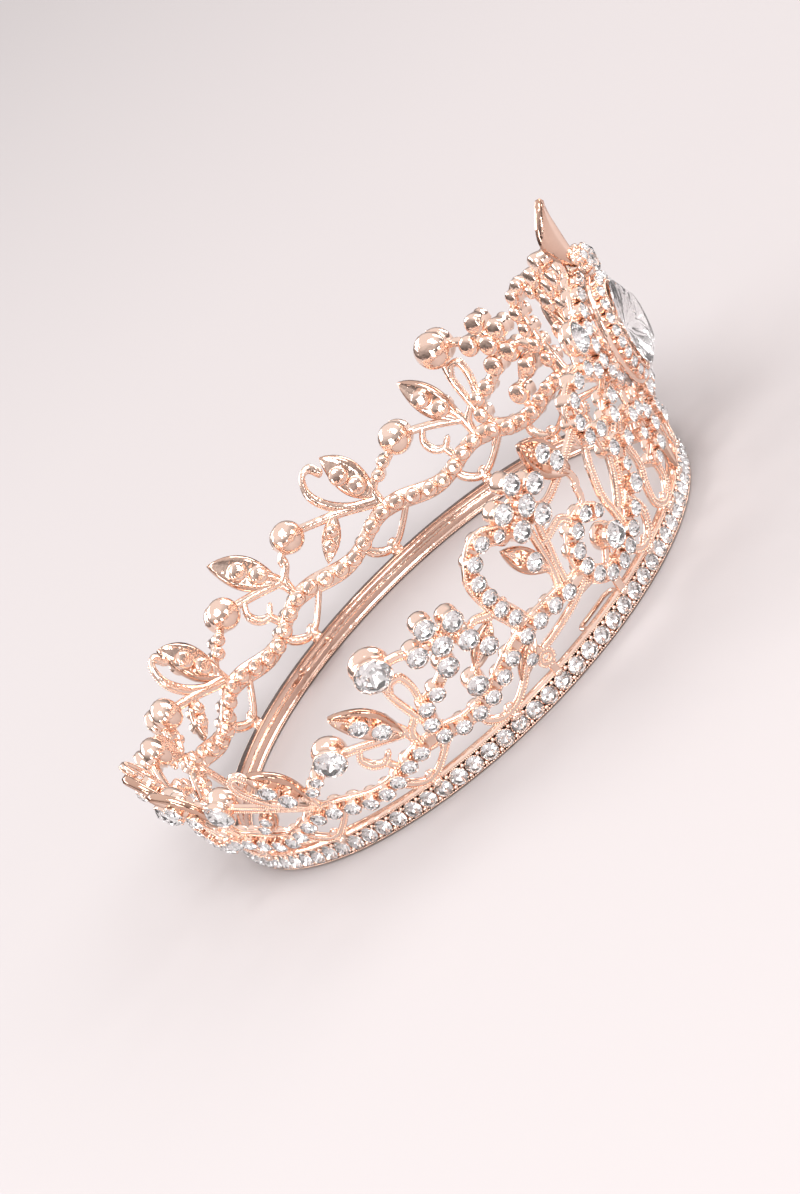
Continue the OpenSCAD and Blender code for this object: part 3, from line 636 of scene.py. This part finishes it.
def leaf_unit(i):
    """One repeat of the garland: vine, foot, leaf, and the stem of its berry."""
    s = Shape()
    lo, hi, f = unit_lo(i), unit_hi(i), foot(i)
    count = int((hi - lo) / 2)
    trough(s, [[a, vine_z(a)] for a in np.linspace(lo - 0.8, hi + 0.8, count)], VINE_W)
    foot_loop(s, f)
    if i % 2 == 0:
        leaf_a(s, f)
    else:
        leaf_b(s, f)
    b = berry_at(i)
    rope(s, [[b + 2.4, 27.2], [b + 3.8, 26.2], [hi - 1, 24.2], [hi + 2, 22]], 2.1)
    rope(s, [[lo - 1, 24], [lo + 1.2, 21.4], [f - 3, 17]], 1.9)
    return s


def blossom_heads(s, heads, middle):
    """Five bosses round a middle one, each for a stone."""
    for p in heads:
        strand(s, [middle, p], 2.2)
        pad(s, p, 5.4)
    pad(s, middle, 5.4)


def spray():
    """The blossom spray between the C-scroll and the first leaf unit, with its vine."""
    s = Shape()
    trough(s, [[56, 20.4], [60.4, 19], [63.8, 17], [67.4, 15], [71, 14.2], [74.6, 14.4],
               [78.2, 16], [81, 16.4]], VINE_W)
    rope(s, [[59.4, 13.6], [62, 10.4], [65.6, 7.6], [69, 7.6], [71.2, 10.2], [71, 13]], 1.75)
    strand(s, [[67, 8], [67, 5.4]], 2.6)
    solder(s, 67, 2.8)
    strand(s, [[80.2, 12.6], [78.2, 14]], 1.4)
    leaf(s, [54.8, 18], [62, 11.4], 5, border=0.5)
    blossom_heads(s, [[63.6, 38.8], [67.6, 42.4], [71.6, 38], [69.2, 30.4], [63.8, 32]],
                  [67.4, 35.8])
    rope(s, [[71.6, 38], [73.6, 40.2], [75.8, 41.3]], 1.9)
    rope(s, [[79, 38], [79.6, 33], [79.4, 27], [79, 22], [78.4, 17]], 1.5)
    rope(s, [[79.4, 33.5], [78, 36], [76.2, 35.4], [76, 31], [77, 26]], 1.6)
    trough(s, [[69.2, 30.4], [70.8, 28.4], [73.6, 26.4], [76.8, 25], [78.2, 20.8], [78.2, 16]],
           2.9)
    leaf(s, [58.8, 30], [66.4, 23], 6.2, border=0.6, grain=True)
    rope(s, [[55, 30.8], [58.3, 31.2], [61, 33], [63.8, 32]], 1.5)
    strand(s, [[58.6, 30.4], [60.4, 32.6]], 1.7)
    strand(s, [[66, 23.4], [67.8, 20.9], [68, 15.4]], 1.9)
    pad(s, [67.8, 20.9], 5.4)
    rosette = [[55.8 + 1.25 * math.cos(t), 11 + 1.65 * math.sin(t)]
               for t in np.radians(np.arange(0, 361, 45))]
    rope(s, rosette, 1.5)
    strand(s, [[55.8, 9.4], [55.8, 5.4]], 1.7)
    solder(s, 55.8, 2.2)
    strand(s, [[55.8, 12.8], [56.4, 15.6]], 1.7)
    strand(s, [[52, 13.8], [55.8, 12.8]], 1.6)
    return s


def blossom():
    """The tall C-scroll and the blossom in front of it."""
    s = Shape()
    trough(s, [[40, 17], [42.4, 18.6], [45.4, 19.6], [49, 20.2], [52.6, 20.6], [56.2, 20.4],
               [60, 19.2]], VINE_W)
    rope(s, [[41, 17], [45, 15.4], [49, 14.4], [52, 13.8], [55, 13.4]], 1.6)
    trough(s, [[48, 43], [49, 44.8], [52, 47.4], [55, 45], [56.8, 40.4], [56.9, 35.7],
               [56.6, 31], [55.6, 26.4], [54.6, 21]], 3.8)
    blossom_heads(s, [[42.4, 52], [46.4, 48.4], [38.8, 47], [45.6, 41.2], [41, 39.8]],
                  [42.5, 45])
    leaf(s, [45, 26.4], [50.2, 41], 5.8, lift=1.0, border=0.6, grain=True)
    rope(s, [[43.6, 42], [44, 34], [44.6, 27], [46, 20]], 1.6)
    rope(s, [[41.6, 38], [42.6, 32], [43.6, 26], [44.2, 20]], 1.6)
    strand(s, [[40, 33], [42.6, 32.6], [44, 33]], 1.5)
    strand(s, [[45.2, 27], [44.4, 24]], 1.7)
    return s


def lower_scroll():
    """The big lower scroll beside the centre panel, with the eye in its curl."""
    s = Shape()
    trough(s, [[17, 28], [18.9, 26], [20.2, 21.2], [23.8, 17.4], [26.8, 14.8], [29.8, 12.9],
               [33, 12], [36.2, 12.8], [38.7, 15.8], [39.8, 20], [39.3, 24.4], [37.3, 28.2],
               [34, 29.4], [31.2, 26.4]], 3.6)
    rope(s, [[26.2, 34.6], [27.6, 27], [27.2, 21], [26.8, 15.6]], 1.6)
    rope(s, [[20.2, 35], [20, 32.2], [22, 26], [25.6, 20]], 2.6)
    strand(s, [[31.2, 35], [31.6, 31.6], [33, 29]], 1.6)
    rope(s, [[35.6, 29], [37.6, 33], [40, 33.2], [43, 32.6]], 1.6)
    strand(s, [[32, 19.4], [34.2, 15.4], [36.2, 12.8]], 2.1)
    pad(s, [32, 19.4], 7.2)
    strand(s, [[39, 18], [43, 18.6]], 3)
    strand(s, [[38, 15], [43, 15.8]], 1.6)
    strand(s, [[35.4, 12], [35.4, 5.4]], 2)
    solder(s, 35.4, 2.4)
    rope(s, [[21.8, 18.6], [20.4, 13], [22.6, 8], [26, 7.6], [28.4, 10.4], [28.6, 13]], 1.75)
    strand(s, [[24.4, 8], [24.4, 5.4]], 2.6)
    solder(s, 24.4, 2.8)
    return s


def upper_scroll():
    """The scroll and the leaf above the lower scroll."""
    s = Shape()
    trough(s, [[17, 51.2], [18.9, 51.6], [22.4, 49.8], [24.2, 45.2], [24, 40.4], [20.4, 38.6],
               [20.1, 34]], 3.2)
    rope(s, [[24, 40.4], [26.4, 34]], 1.6)
    strand(s, [[20, 33.4], [17, 35.6]], 2.4)
    rope(s, [[24.2, 45.2], [28, 43.2], [31.4, 41.6], [37.2, 39.4], [40, 40]], 1.7)
    strand(s, [[31.4, 41.6], [30.6, 36], [31.4, 34]], 1.6)
    leaf(s, [30.8, 38.6], [37, 56.6], 8.8, lift=1.8, grain=True)
    return s


def from_ring(x, y):
    """A wall place x across and y up from the middle of the panel's ring."""
    z = PANEL_Z + y * math.cos(FLARE)
    return [math.degrees(math.atan(x / wall_r(z))), z]


def round_ring(r, count):
    """A circle about the middle of the panel's ring."""
    return [from_ring(r * math.sin(t), r * math.cos(t))
            for t in np.radians(np.linspace(0, 360, count + 1))]


def panel_half(s, m):
    """The scrolls and stems on one side of the panel, left with m = 1 and right with -1."""
    def side(points):
        return [[m * p[0], p[1]] for p in points]

    trough(s, side([[9, 44], [12.6, 47.4], [15.1, 50.6], [17.4, 51.4]]), 2.8)
    trough(s, side([[8.6, 42], [12.8, 40], [15.2, 36.8], [17.4, 35]]), 2.8)
    trough(s, side([[10.2, 31], [6.6, 29.6], [3.9, 26.4], [3.4, 21.9], [5, 17.9],
                    [8.4, 16.6]]), 3.2)
    trough(s, side([[10.2, 31], [12.8, 31], [15.1, 29.4], [17.4, 27.6]]), 2.8)
    strand(s, side([[6.6, 29.6], [9.2, 24.6]]), 1.9)
    strand(s, side([[5.6, 34.6], [6.6, 29.6]]), 2)
    rope(s, side([[8.4, 16.6], [8, 11], [10.4, 7.8], [13.6, 7.8], [16, 11], [15.4, 16],
                  [13.8, 21], [15.1, 29.4]]), 1.5)
    strand(s, side([[12, 8], [12, 5.4]]), 2.6)
    solder(s, m * 12, 2.8)
    strand(s, side([[8, 58], SIDE_GEM_AT]), 3)
    strand(s, side([[15, 51], SIDE_GEM_AT]), 2)
    pad(s, [m * SIDE_GEM_AT[0], SIDE_GEM_AT[1]], 8.2)


def centre_panel():
    """Ring, inner ring and spokes behind the medallion, with scrolls and stems below."""
    s = Shape()
    trough(s, round_ring(RING_D / 2, 20), 3.6)
    strand(s, round_ring(POST_RING_R, 16), 2)
    for t in np.radians([45, 135, 225, 315]):
        strand(s, [from_ring(r * math.sin(t), r * math.cos(t)) for r in (7, 13)], 2)
    for m in (-1, 1):
        panel_half(s, m)
    strand(s, [[0, 62], [0, 70]], 4)
    leaf(s, [0, 5.6], [0, 24], 5, border=0.5)
    strand(s, [[-3.6, 22], [0, 19], [3.6, 22]], 1.7)
    solder(s, 0, 3)
    return s


def back_ornament():
    """Disc, drop and small scrolls at the middle of the back."""
    s = Shape()
    pad(s, [180, 18], 6.2)
    leaf(s, [180, 20], [180, 30], 4.4, border=0.5)
    for m in (-1, 1):
        rope(s, [[180, 18], [180 + m * 2.4, 16], [180 + m * 5, 15.4]], 2.4)
        strand(s, [[180, 21.4], [180 + m * 2.6, 23], [180 + m * 4.6, 22.4]], 1.5)
    strand(s, [[180, 16], [180, 5.4]], 1.8)
    solder(s, 180, 2.4)
    return s


# ---- base band and side wires ----

BAND_SEGMENTS = 288
# Profile of the band as (radius over BAND_R, height): the relief of its inside, then the
# channel outside, whose lips reach out by LIP
LIP = 3.4
BAND_INSIDE = [(0.3, 0.04), (0.05, 0.2), (-0.1, 0.7), (0.05, 1.15), (0.32, 1.3), (0.36, 1.5),
               (0.16, 1.7), (0.04, 2.6), (0.16, 3.5), (0.4, 3.75), (0.42, 5.3), (0.2, 5.5),
               (0.02, 5.75), (0.12, 5.98), (0.8, 6.02)]
BAND_OUTSIDE = [(BAND_T, 5.85), (BAND_T, 5.66), (LIP - 0.2, 5.64), (LIP, 5.52), (LIP, 5.38),
                (LIP - 0.2, 5.3), (BAND_T, 5.28), (BAND_T, 0.36), (LIP - 0.2, 0.34),
                (LIP, 0.26), (LIP, 0.1), (LIP - 0.2, 0.02), (0.6, 0.0)]


def bead_ring(shape, r, z, size, pitch, way):
    """A row of grains round the band, facing out with way 1 and in with way -1."""
    count = int(2 * math.pi * r / pitch)
    for k in range(count):
        a = 360 * k / count
        bead(shape, at(a, r, z), way * at(a, 1, 0), size)


def base_band():
    """The closed ring with its channel, relief and rows of grains."""
    s = Shape()
    profile = BAND_INSIDE + BAND_OUTSIDE
    rings = [np.array([at(360 * k / BAND_SEGMENTS, BAND_R + r, z) for r, z in profile])
             for k in range(BAND_SEGMENTS)]
    loft(s, rings, closed=True)
    bead_ring(s, BAND_R + LIP, 0.34, 0.33, 0.72, 1.0)
    bead_ring(s, BAND_R + LIP - 0.05, 5.36, 0.26, 0.6, 1.0)
    bead_ring(s, BAND_R + 0.05, 0.42, 0.28, 0.66, -1.0)
    return s


# Profile of a cup in the channel as (radius, distance out), and the circle of its prongs
BAND_CUP = [(0, 0.02), (2.36, 0.02), (2.42, 0.5), (2.42, 2.45), (2.38, 2.58), (2.28, 2.6),
            (2.22, 2.4), (2.22, 2.1), (1.1, 1.2), (0, 0.6)]
PRONG_R = 2.26


def band_cups(first, last):
    """The cups from number first up to last, each with four prongs and the grains beside it."""
    s = Shape()
    step = 360 / STONES_IN_BAND
    middle = CHANNEL_H / 2
    for i in range(first, last):
        a = i * step
        n = at(a, 1, 0)
        turned(s, BAND_CUP, at(a, BAND_BACK, middle), n, UP, 24)
        beside = a + step / 2
        for z in (-1.75, 1.75):
            bead(s, at(beside, BAND_BACK + 2.15, middle + z), at(beside, 1, 0), 0.74, 1.1)
        for t in np.radians([45, 135, 225, 315]):
            turn = math.degrees(PRONG_R * math.cos(t) / (BAND_BACK + 2))
            bead(s, at(a + turn, BAND_BACK + 2.56, middle + PRONG_R * math.sin(t)), n, 0.3, 1.2)
    return s


def side_wire():
    """The wire inside the band, bent back in a flat hairpin at both ends."""
    s = Shape()
    r = WIRE_D / 2
    wire_r = BAND_R - r
    loop_r = wire_r - 2 * LOOP_BEND

    def bend(a, turn, way):
        t = math.radians(a)
        u = np.array([math.sin(t), -math.cos(t), 0])
        v = np.array([math.cos(t), math.sin(t), 0])
        b = math.radians(turn)
        return ((wire_r - LOOP_BEND) * u
                + LOOP_BEND * (-math.cos(b) * u + way * math.sin(b) * v))

    hairpin = ([bend(WIRE_FROM + LOOP_SWEEP, t, 1) for t in np.linspace(110, 9, 10)]
               + [at(WIRE_FROM + LOOP_SWEEP * k, loop_r, 0) for k in np.linspace(0.95, 0.05, 5)]
               + [bend(WIRE_FROM, t, -1) for t in np.linspace(0, 180, 16)])
    run = [at(a, wire_r, 0) for a in np.linspace(WIRE_FROM + 1, 179 - WIRE_FROM, 90)]
    path = hairpin + run + [p * [1, -1, 1] for p in reversed(hairpin)]
    rings = []
    n = len(path)
    for i in range(n):
        d = unit(path[min(i + 1, n - 1)] - path[max(i - 1, 0)])
        across = np.array([-d[1], d[0], 0])
        for along, scale in end_shifts(i, n, WIRE_END):
            c = path[i] + np.array([0, 0, WIRE_Z]) + d * along * r
            rings.append(np.array([c + scale * r * (across * math.cos(t) + [0, 0, math.sin(t)])
                                   for t in np.linspace(0, 2 * math.pi, 13)[:-1]]))
    loft(s, rings)
    return s


# ---- medallion ----

def round_gem(t, over, out):
    """A place at angle t on an oval that is larger than the centre stone by over."""
    return on_front((GEM_W + over) / 2 * math.cos(t), GEM_Y + (GEM_H + over) / 2 * math.sin(t),
                    out)


def gem_rim(shape, profile, segments):
    """A closed rim round the centre stone; profile is (size over the stone's, distance out)."""
    rings = [np.array([round_gem(2 * math.pi * k / segments, over, out)
                       for over, out in profile]) for k in range(segments)]
    loft(shape, rings, closed=True)


def medallion_plate():
    """The plate behind the halo, with three bosses for the crest stones on a stem above."""
    s = Shape()
    lo, hi = PLATE_OUT, PLATE_OUT + PLATE_T
    gem_rim(s, [(-4, lo + 0.1), (8, lo), (8.2, lo + 0.4), (8, hi - 0.3), (7.6, hi), (2, hi),
                (-3.8, hi)], 72)
    halo_y = GEM_Y + GEM_H / 2 + 0.8 + 1.6
    r = 1.8
    for x, y in ((0, 4.6), (-2, 8), (2, 8)):
        turned(s, [(0, 0), (0.9 * r, 0), (r, 0.3), (r, PLATE_T - 0.2), (0.85 * r, PLATE_T),
                   (0, PLATE_T)], on_front(x, halo_y + y, lo), FRONT_N, FRONT_UP, 20)
    section = ((-1.1, lo + 0.2), (-1.2, lo + 0.9), (-0.7, hi), (0.7, hi), (1.2, lo + 0.9),
               (1.1, lo + 0.2))
    loft(s, [np.array([on_front(x, halo_y + y, out) for x, out in section])
             for y in np.linspace(-0.6, 7, 6)])
    return s


def medallion_posts():
    """Four posts that carry the plate on the centre panel's inner ring."""
    s = Shape()
    profile = [(0, -0.1), (1.1, -0.05), (0.82, 0.5), (0.78, 2.0), (1.05, 2.5), (0, 2.52)]
    for t in np.radians([45, 135, 225, 315]):
        x, y = POST_RING_R * math.sin(t), POST_RING_R * math.cos(t)
        turned(s, profile, on_front(x, PANEL_Z / math.cos(FLARE) + y, WALL_T), FRONT_N,
               FRONT_UP, 16)
    return s


def centre_bezel():
    """The rim round the centre stone, with a row of grains and four prongs."""
    s = Shape()
    lo = PLATE_OUT + PLATE_T
    grains = 96
    gem_rim(s, [(0.1, lo), (2.0, lo), (1.6, lo + 0.9), (1.3, lo + 2.2), (0.8, lo + 2.55),
                (0.1, lo + 2.4)], grains)
    for k in range(grains):
        bead(s, round_gem(2 * math.pi * (k + 0.5) / grains, 0.7, lo + 2.42), FRONT_N, 0.3)
    for t in np.radians([38, 142, 218, 322]):
        bead(s, round_gem(t, -0.1, lo + 2.5), FRONT_N, 0.75, 0.9)
    return s


def side_bezels():
    """A dished rim round each side stone, with a row of grains."""
    s = Shape()
    segments, grains = 40, 36
    profile = [(-2.4, -0.1), (0.4, 0), (0.55, 0.5), (0.45, 2.3), (0.2, 2.62), (-0.05, 2.45),
               (-0.1, 1.6), (-2.4, 0.3)]
    for c, n, up, w, l, _ in oval_seats("side_stones"):
        side = unit(np.cross(up, n))
        top = np.cross(n, side)
        base = c - n * 0.55

        def edge(t, over, out):
            return (base + n * out + side * (w / 2 + over) * math.cos(t)
                    + top * (l / 2 + over) * math.sin(t))

        loft(s, [np.array([edge(2 * math.pi * k / segments, *p) for p in profile])
                 for k in range(segments)], closed=True)
        for k in range(grains):
            bead(s, edge(2 * math.pi * k / grains, 0.28, 2.5), n, 0.26)
    return s


def oval_stones(node, n, proud):
    """The oval stones of a node, with n mains and a table raised by proud."""
    s = Shape()
    for c, axis, up, w, l, depth in oval_seats(node):
        below = 0.56 * depth
        brilliant(s, c + axis * below, axis, up, w, l, below, depth - below + proud, n=n,
                  table=0.6, turn=math.pi / n, halves=True)
    return s


def top_leaf():
    """The leaf above the front, which rises behind the head of the medallion."""
    s = Shape()
    leaf(s, [0, LEAF_TIP - TOP_LEAF_L * math.cos(FLARE)], [0, LEAF_TIP], TOP_LEAF_W,
         t=TOP_LEAF_T, fold=TOP_LEAF_FOLD)
    tip = on_front(0, LEAF_TIP / math.cos(FLARE), 0)
    cos, sin = math.cos(TOP_LEAF_LEAN), math.sin(TOP_LEAF_LEAN)
    turn = np.array([[1, 0, 0], [0, cos, -sin], [0, sin, cos]])
    s.verts = [(v - tip) @ turn.T + tip + FRONT_N * TOP_LEAF_FORWARD for v in s.verts]
    return s


# ---- materials ----

def material(name):
    m = bpy.data.materials.new(name)
    m.use_nodes = True
    nodes, links = m.node_tree.nodes, m.node_tree.links
    return m, nodes, links, nodes["Principled BSDF"]


def noise(nodes, links, scale, detail=3.0):
    """Noise over the object's own coordinates, scale to a metre."""
    where = nodes.new("ShaderNodeTexCoord")
    n = nodes.new("ShaderNodeTexNoise")
    n.inputs["Scale"].default_value = scale
    n.inputs["Detail"].default_value = detail
    links.new(where.outputs["Object"], n.inputs["Vector"])
    return n


def ramp(nodes, links, source, low, high, start=0.3, end=0.7):
    """A colour that goes from low to high as the source goes from start to end."""
    r = nodes.new("ShaderNodeValToRGB")
    r.color_ramp.elements[0].position = start
    r.color_ramp.elements[1].position = end
    r.color_ramp.elements[0].color = low
    r.color_ramp.elements[1].color = high
    links.new(source, r.inputs["Fac"])
    return r


def rose_gold():
    """Polished rose-gold plate, darker in the recesses by painted shade, with a faint haze and
    ripple.
    """
    m, nodes, links, shader = material("rose_gold")
    shader.inputs["Metallic"].default_value = 1.0
    tint = noise(nodes, links, 60)
    crest = ramp(nodes, links, tint.outputs["Fac"], (0.87, 0.63, 0.52, 1), (0.91, 0.70, 0.59, 1))
    # Painted shade: a deep orange for the hollows, where the metal falls into shade
    recess_shade = ramp(nodes, links, tint.outputs["Fac"], (0.42, 0.21, 0.14, 1), (0.54, 0.30, 0.20, 1))
    shape = nodes.new("ShaderNodeNewGeometry")
    # Painted shade mask: low pointiness, in creases and hollows, takes the dark colour
    recess_shade_mask = nodes.new("ShaderNodeMapRange")
    recess_shade_mask.inputs["From Min"].default_value = 0.39
    recess_shade_mask.inputs["From Max"].default_value = 0.508
    links.new(shape.outputs["Pointiness"], recess_shade_mask.inputs["Value"])
    colour = nodes.new("ShaderNodeMix")
    colour.data_type = "RGBA"
    links.new(recess_shade_mask.outputs["Result"], colour.inputs["Factor"])
    links.new(recess_shade.outputs["Color"], colour.inputs[6])
    links.new(crest.outputs["Color"], colour.inputs[7])
    links.new(colour.outputs[2], shader.inputs["Base Color"])
    haze = noise(nodes, links, 260, 4)
    rough = nodes.new("ShaderNodeMapRange")
    rough.inputs["To Min"].default_value = 0.03
    rough.inputs["To Max"].default_value = 0.12
    links.new(haze.outputs["Fac"], rough.inputs["Value"])
    links.new(rough.outputs["Result"], shader.inputs["Roughness"])
    wave = noise(nodes, links, 640, 2)
    bump = nodes.new("ShaderNodeBump")
    bump.inputs["Strength"].default_value = 0.35
    bump.inputs["Distance"].default_value = 0.0004
    links.new(wave.outputs["Fac"], bump.inputs["Height"])
    links.new(bump.outputs["Normal"], shader.inputs["Normal"])
    return m


def crystal():
    """Clear glass of the stones' tops."""
    m, nodes, links, shader = material("crystal")
    tint = noise(nodes, links, 90)
    colour = ramp(nodes, links, tint.outputs["Fac"], (0.96, 0.95, 0.95, 1), (1, 1, 1, 1))
    links.new(colour.outputs["Color"], shader.inputs["Base Color"])
    shader.inputs["Transmission Weight"].default_value = 1.0
    shader.inputs["IOR"].default_value = 1.65
    shader.inputs["Roughness"].default_value = 0.0
    return m


def foil():
    """Silvered back of the stones."""
    m, nodes, links, shader = material("crystal_foil")
    tint = noise(nodes, links, 700)
    colour = ramp(nodes, links, tint.outputs["Fac"], (0.90, 0.89, 0.89, 1), (1.0, 0.99, 0.99, 1))
    links.new(colour.outputs["Color"], shader.inputs["Base Color"])
    shader.inputs["Metallic"].default_value = 0.85
    shader.inputs["Roughness"].default_value = 0.03
    return m


GOLD = rose_gold()
CRYSTAL = crystal()
FOIL = foil()


def piece(name, shape, node, finish="rose_gold"):
    """One mesh object from a shape, riding on the root body in place of a CAD node."""
    mesh = bpy.data.meshes.new(name)
    verts = np.concatenate(shape.verts) * MM
    mesh.from_pydata(verts.tolist(), [], shape.faces)
    mesh.polygons.foreach_set("use_smooth", shape.smooth)
    mesh.polygons.foreach_set("material_index", shape.slots)
    mesh.validate()
    mesh.update()
    for m in ([CRYSTAL, FOIL] if finish == "crystal" else [GOLD]):
        mesh.materials.append(m)
    o = bpy.data.objects.new(name, mesh)
    bpy.context.scene.collection.objects.link(o)
    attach(o, "root")
    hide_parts(node)


def both_sides(name, shape, node, finish="rose_gold"):
    """The left piece and its mirror image on the right."""
    piece(name + "_left", shape, node + "_left", finish)
    piece(name + "_right", shape.mirrored(), node + "_right", finish)


piece("band", base_band(), "base_band")
half = STONES_IN_BAND // 2
for side, first in (("left", 0), ("right", half)):
    piece("band_settings_" + side, band_cups(first, first + half), "band_cups_" + side)
for side in ("left", "right"):
    node = "band_stones_" + side
    piece("band_crystals_" + side, round_stones(round_seats(node)), node, "crystal")
both_sides("wire", side_wire(), "side_wire")
both_sides("front_scroll_low", lower_scroll(), "lower_scroll")
both_sides("front_scroll_high", upper_scroll(), "upper_scroll")
both_sides("blossom_frame", blossom(), "blossom_casting")
both_sides("spray_frame", spray(), "spray_casting")
for i in range(4):
    both_sides(f"garland_unit_{i + 1}", leaf_unit(i), f"leaf_unit_{i + 1}")
for group in ("scroll", "blossom", "spray", "garland"):
    seats = round_seats(group + "_stones_left")
    both_sides(group + "_settings", cups(seats), group + "_cups")
    both_sides(group + "_crystals", round_stones(seats), group + "_stones", "crystal")
piece("panel_frame", centre_panel(), "centre_panel")
piece("panel_settings", cups(round_seats("centre_stones")), "centre_cups")
piece("panel_crystals", round_stones(round_seats("centre_stones")), "centre_stones", "crystal")
piece("back_frame", back_ornament(), "back_ornament")
piece("back_setting", cups(round_seats("back_stone")), "back_cup")
piece("back_crystal", round_stones(round_seats("back_stone")), "back_stone", "crystal")
piece("medallion", medallion_plate(), "medallion_plate")
piece("medallion_stems", medallion_posts(), "medallion_posts")
halo = splayed(round_seats("halo_stones"))
piece("halo_settings", cups(halo, HALO_BACK), "halo_cups")
piece("halo_crystals", round_stones(halo), "halo_stones", "crystal")
piece("gem_bezel", centre_bezel(), "centre_bezel")
piece("gem", oval_stones("centre_stone", 14, 0.6), "centre_stone", "crystal")
piece("side_gem_bezels", side_bezels(), "side_bezels")
piece("side_gems", oval_stones("side_stones", 10, 0.3), "side_stones", "crystal")
piece("crest_leaf", top_leaf(), "top_leaf")


# ---- stage, light and camera ----

def stage_material(near, far):
    """A matt floor that goes from one tone under the object to another 1 m away, for a painted
    falloff of light.
    """
    m, nodes, links, shader = material("stage")
    where = nodes.new("ShaderNodeTexCoord")
    reach = nodes.new("ShaderNodeVectorMath")
    reach.operation = "LENGTH"
    links.new(where.outputs["Object"], reach.inputs[0])
    colour = ramp(nodes, links, reach.outputs["Value"], near, far, 0.4, 1.0)
    links.new(colour.outputs["Color"], shader.inputs["Base Color"])
    shader.inputs["Roughness"].default_value = 0.6
    return m


FLOOR_HALF = 8
FLOOR_Z = -0.0002

floor_mesh = bpy.data.meshes.new("floor")
corners = [(x * FLOOR_HALF, y * FLOOR_HALF, FLOOR_Z)
           for x, y in ((-1, -1), (1, -1), (1, 1), (-1, 1))]
floor_mesh.from_pydata(corners, [], [(0, 1, 2, 3)])
# Painted light falloff: lighter under the object, a little darker farther away
floor_mesh.materials.append(stage_material((0.46, 0.425, 0.425, 1), (0.42, 0.39, 0.39, 1)))
floor = bpy.data.objects.new("floor", floor_mesh)
bpy.context.scene.collection.objects.link(floor)


def soft_light(name, place, aim, size, watts):
    """A rectangular lamp of a size, which points at aim."""
    data = bpy.data.lights.new(name, "AREA")
    data.shape = "RECTANGLE"
    data.size, data.size_y = size
    data.energy = watts
    o = bpy.data.objects.new(name, data)
    o.location = place
    o.rotation_euler = (Vector(aim) - Vector(place)).to_track_quat("-Z", "Y").to_euler()
    bpy.context.scene.collection.objects.link(o)


soft_light("key", (-0.9, -0.5, 1.3), (0, 0, 0.03), (0.9, 0.9), 20)
soft_light("fill", (0.9, -1.1, 0.7), (0, 0, 0.03), (0.7, 1.1), 11)
soft_light("rim", (0.4, 1.2, 0.9), (0, 0, 0.03), (1.3, 0.6), 14)
soft_light("low", (-1.4, 0.6, 0.3), (0, 0, 0.04), (0.5, 0.5), 7)
soft_light("front", (-0.5, -1.6, 0.35), (0, 0, 0.04), (0.5, 0.5), 6)
soft_light("near", (-1.6, -0.75, 0.2), (0, 0, 0.04), (0.3, 0.26), 2.5)

# A sky that is bright above and dim towards the horizon
world = bpy.data.worlds.new("studio")
world.use_nodes = True
nodes, links = world.node_tree.nodes, world.node_tree.links
where = nodes.new("ShaderNodeTexCoord")
split = nodes.new("ShaderNodeSeparateXYZ")
shade = nodes.new("ShaderNodeValToRGB")
shade.color_ramp.elements[0].position = 0.0
shade.color_ramp.elements[0].color = (0.11, 0.095, 0.095, 1)
shade.color_ramp.elements[1].position = 0.7
shade.color_ramp.elements[1].color = (0.95, 0.92, 0.92, 1)
links.new(where.outputs["Generated"], split.inputs[0])
links.new(split.outputs["Z"], shade.inputs["Fac"])
links.new(shade.outputs["Color"], nodes["Background"].inputs["Color"])
nodes["Background"].inputs["Strength"].default_value = 1.1
bpy.context.scene.world = world
bpy.context.scene.view_settings.view_transform = "Standard"
bpy.context.scene.view_settings.exposure = 0.0

# Camera: place and aim in metres, and its roll, because the tiara in the picture leans
EYE = Vector((-1.1034, -0.5098, 0.4366))
AIM = Vector((-0.0011, 0.0024, 0.0217))
ROLL = math.radians(44.24)
LENS = 150.8

camera_data = bpy.data.cameras.new("camera")
camera_data.lens = LENS
camera_data.sensor_width = 36
camera = bpy.data.objects.new("camera", camera_data)
back = (EYE - AIM).normalized()
level = Vector((0, 0, 1)).cross(back).normalized()
upright = back.cross(level)
across = level * math.cos(ROLL) - upright * math.sin(ROLL)
top = upright * math.cos(ROLL) + level * math.sin(ROLL)
camera.matrix_world = Matrix.Translation(EYE) @ Matrix((across, top, back)).transposed().to_4x4()
bpy.context.scene.collection.objects.link(camera)
bpy.context.scene.camera = camera
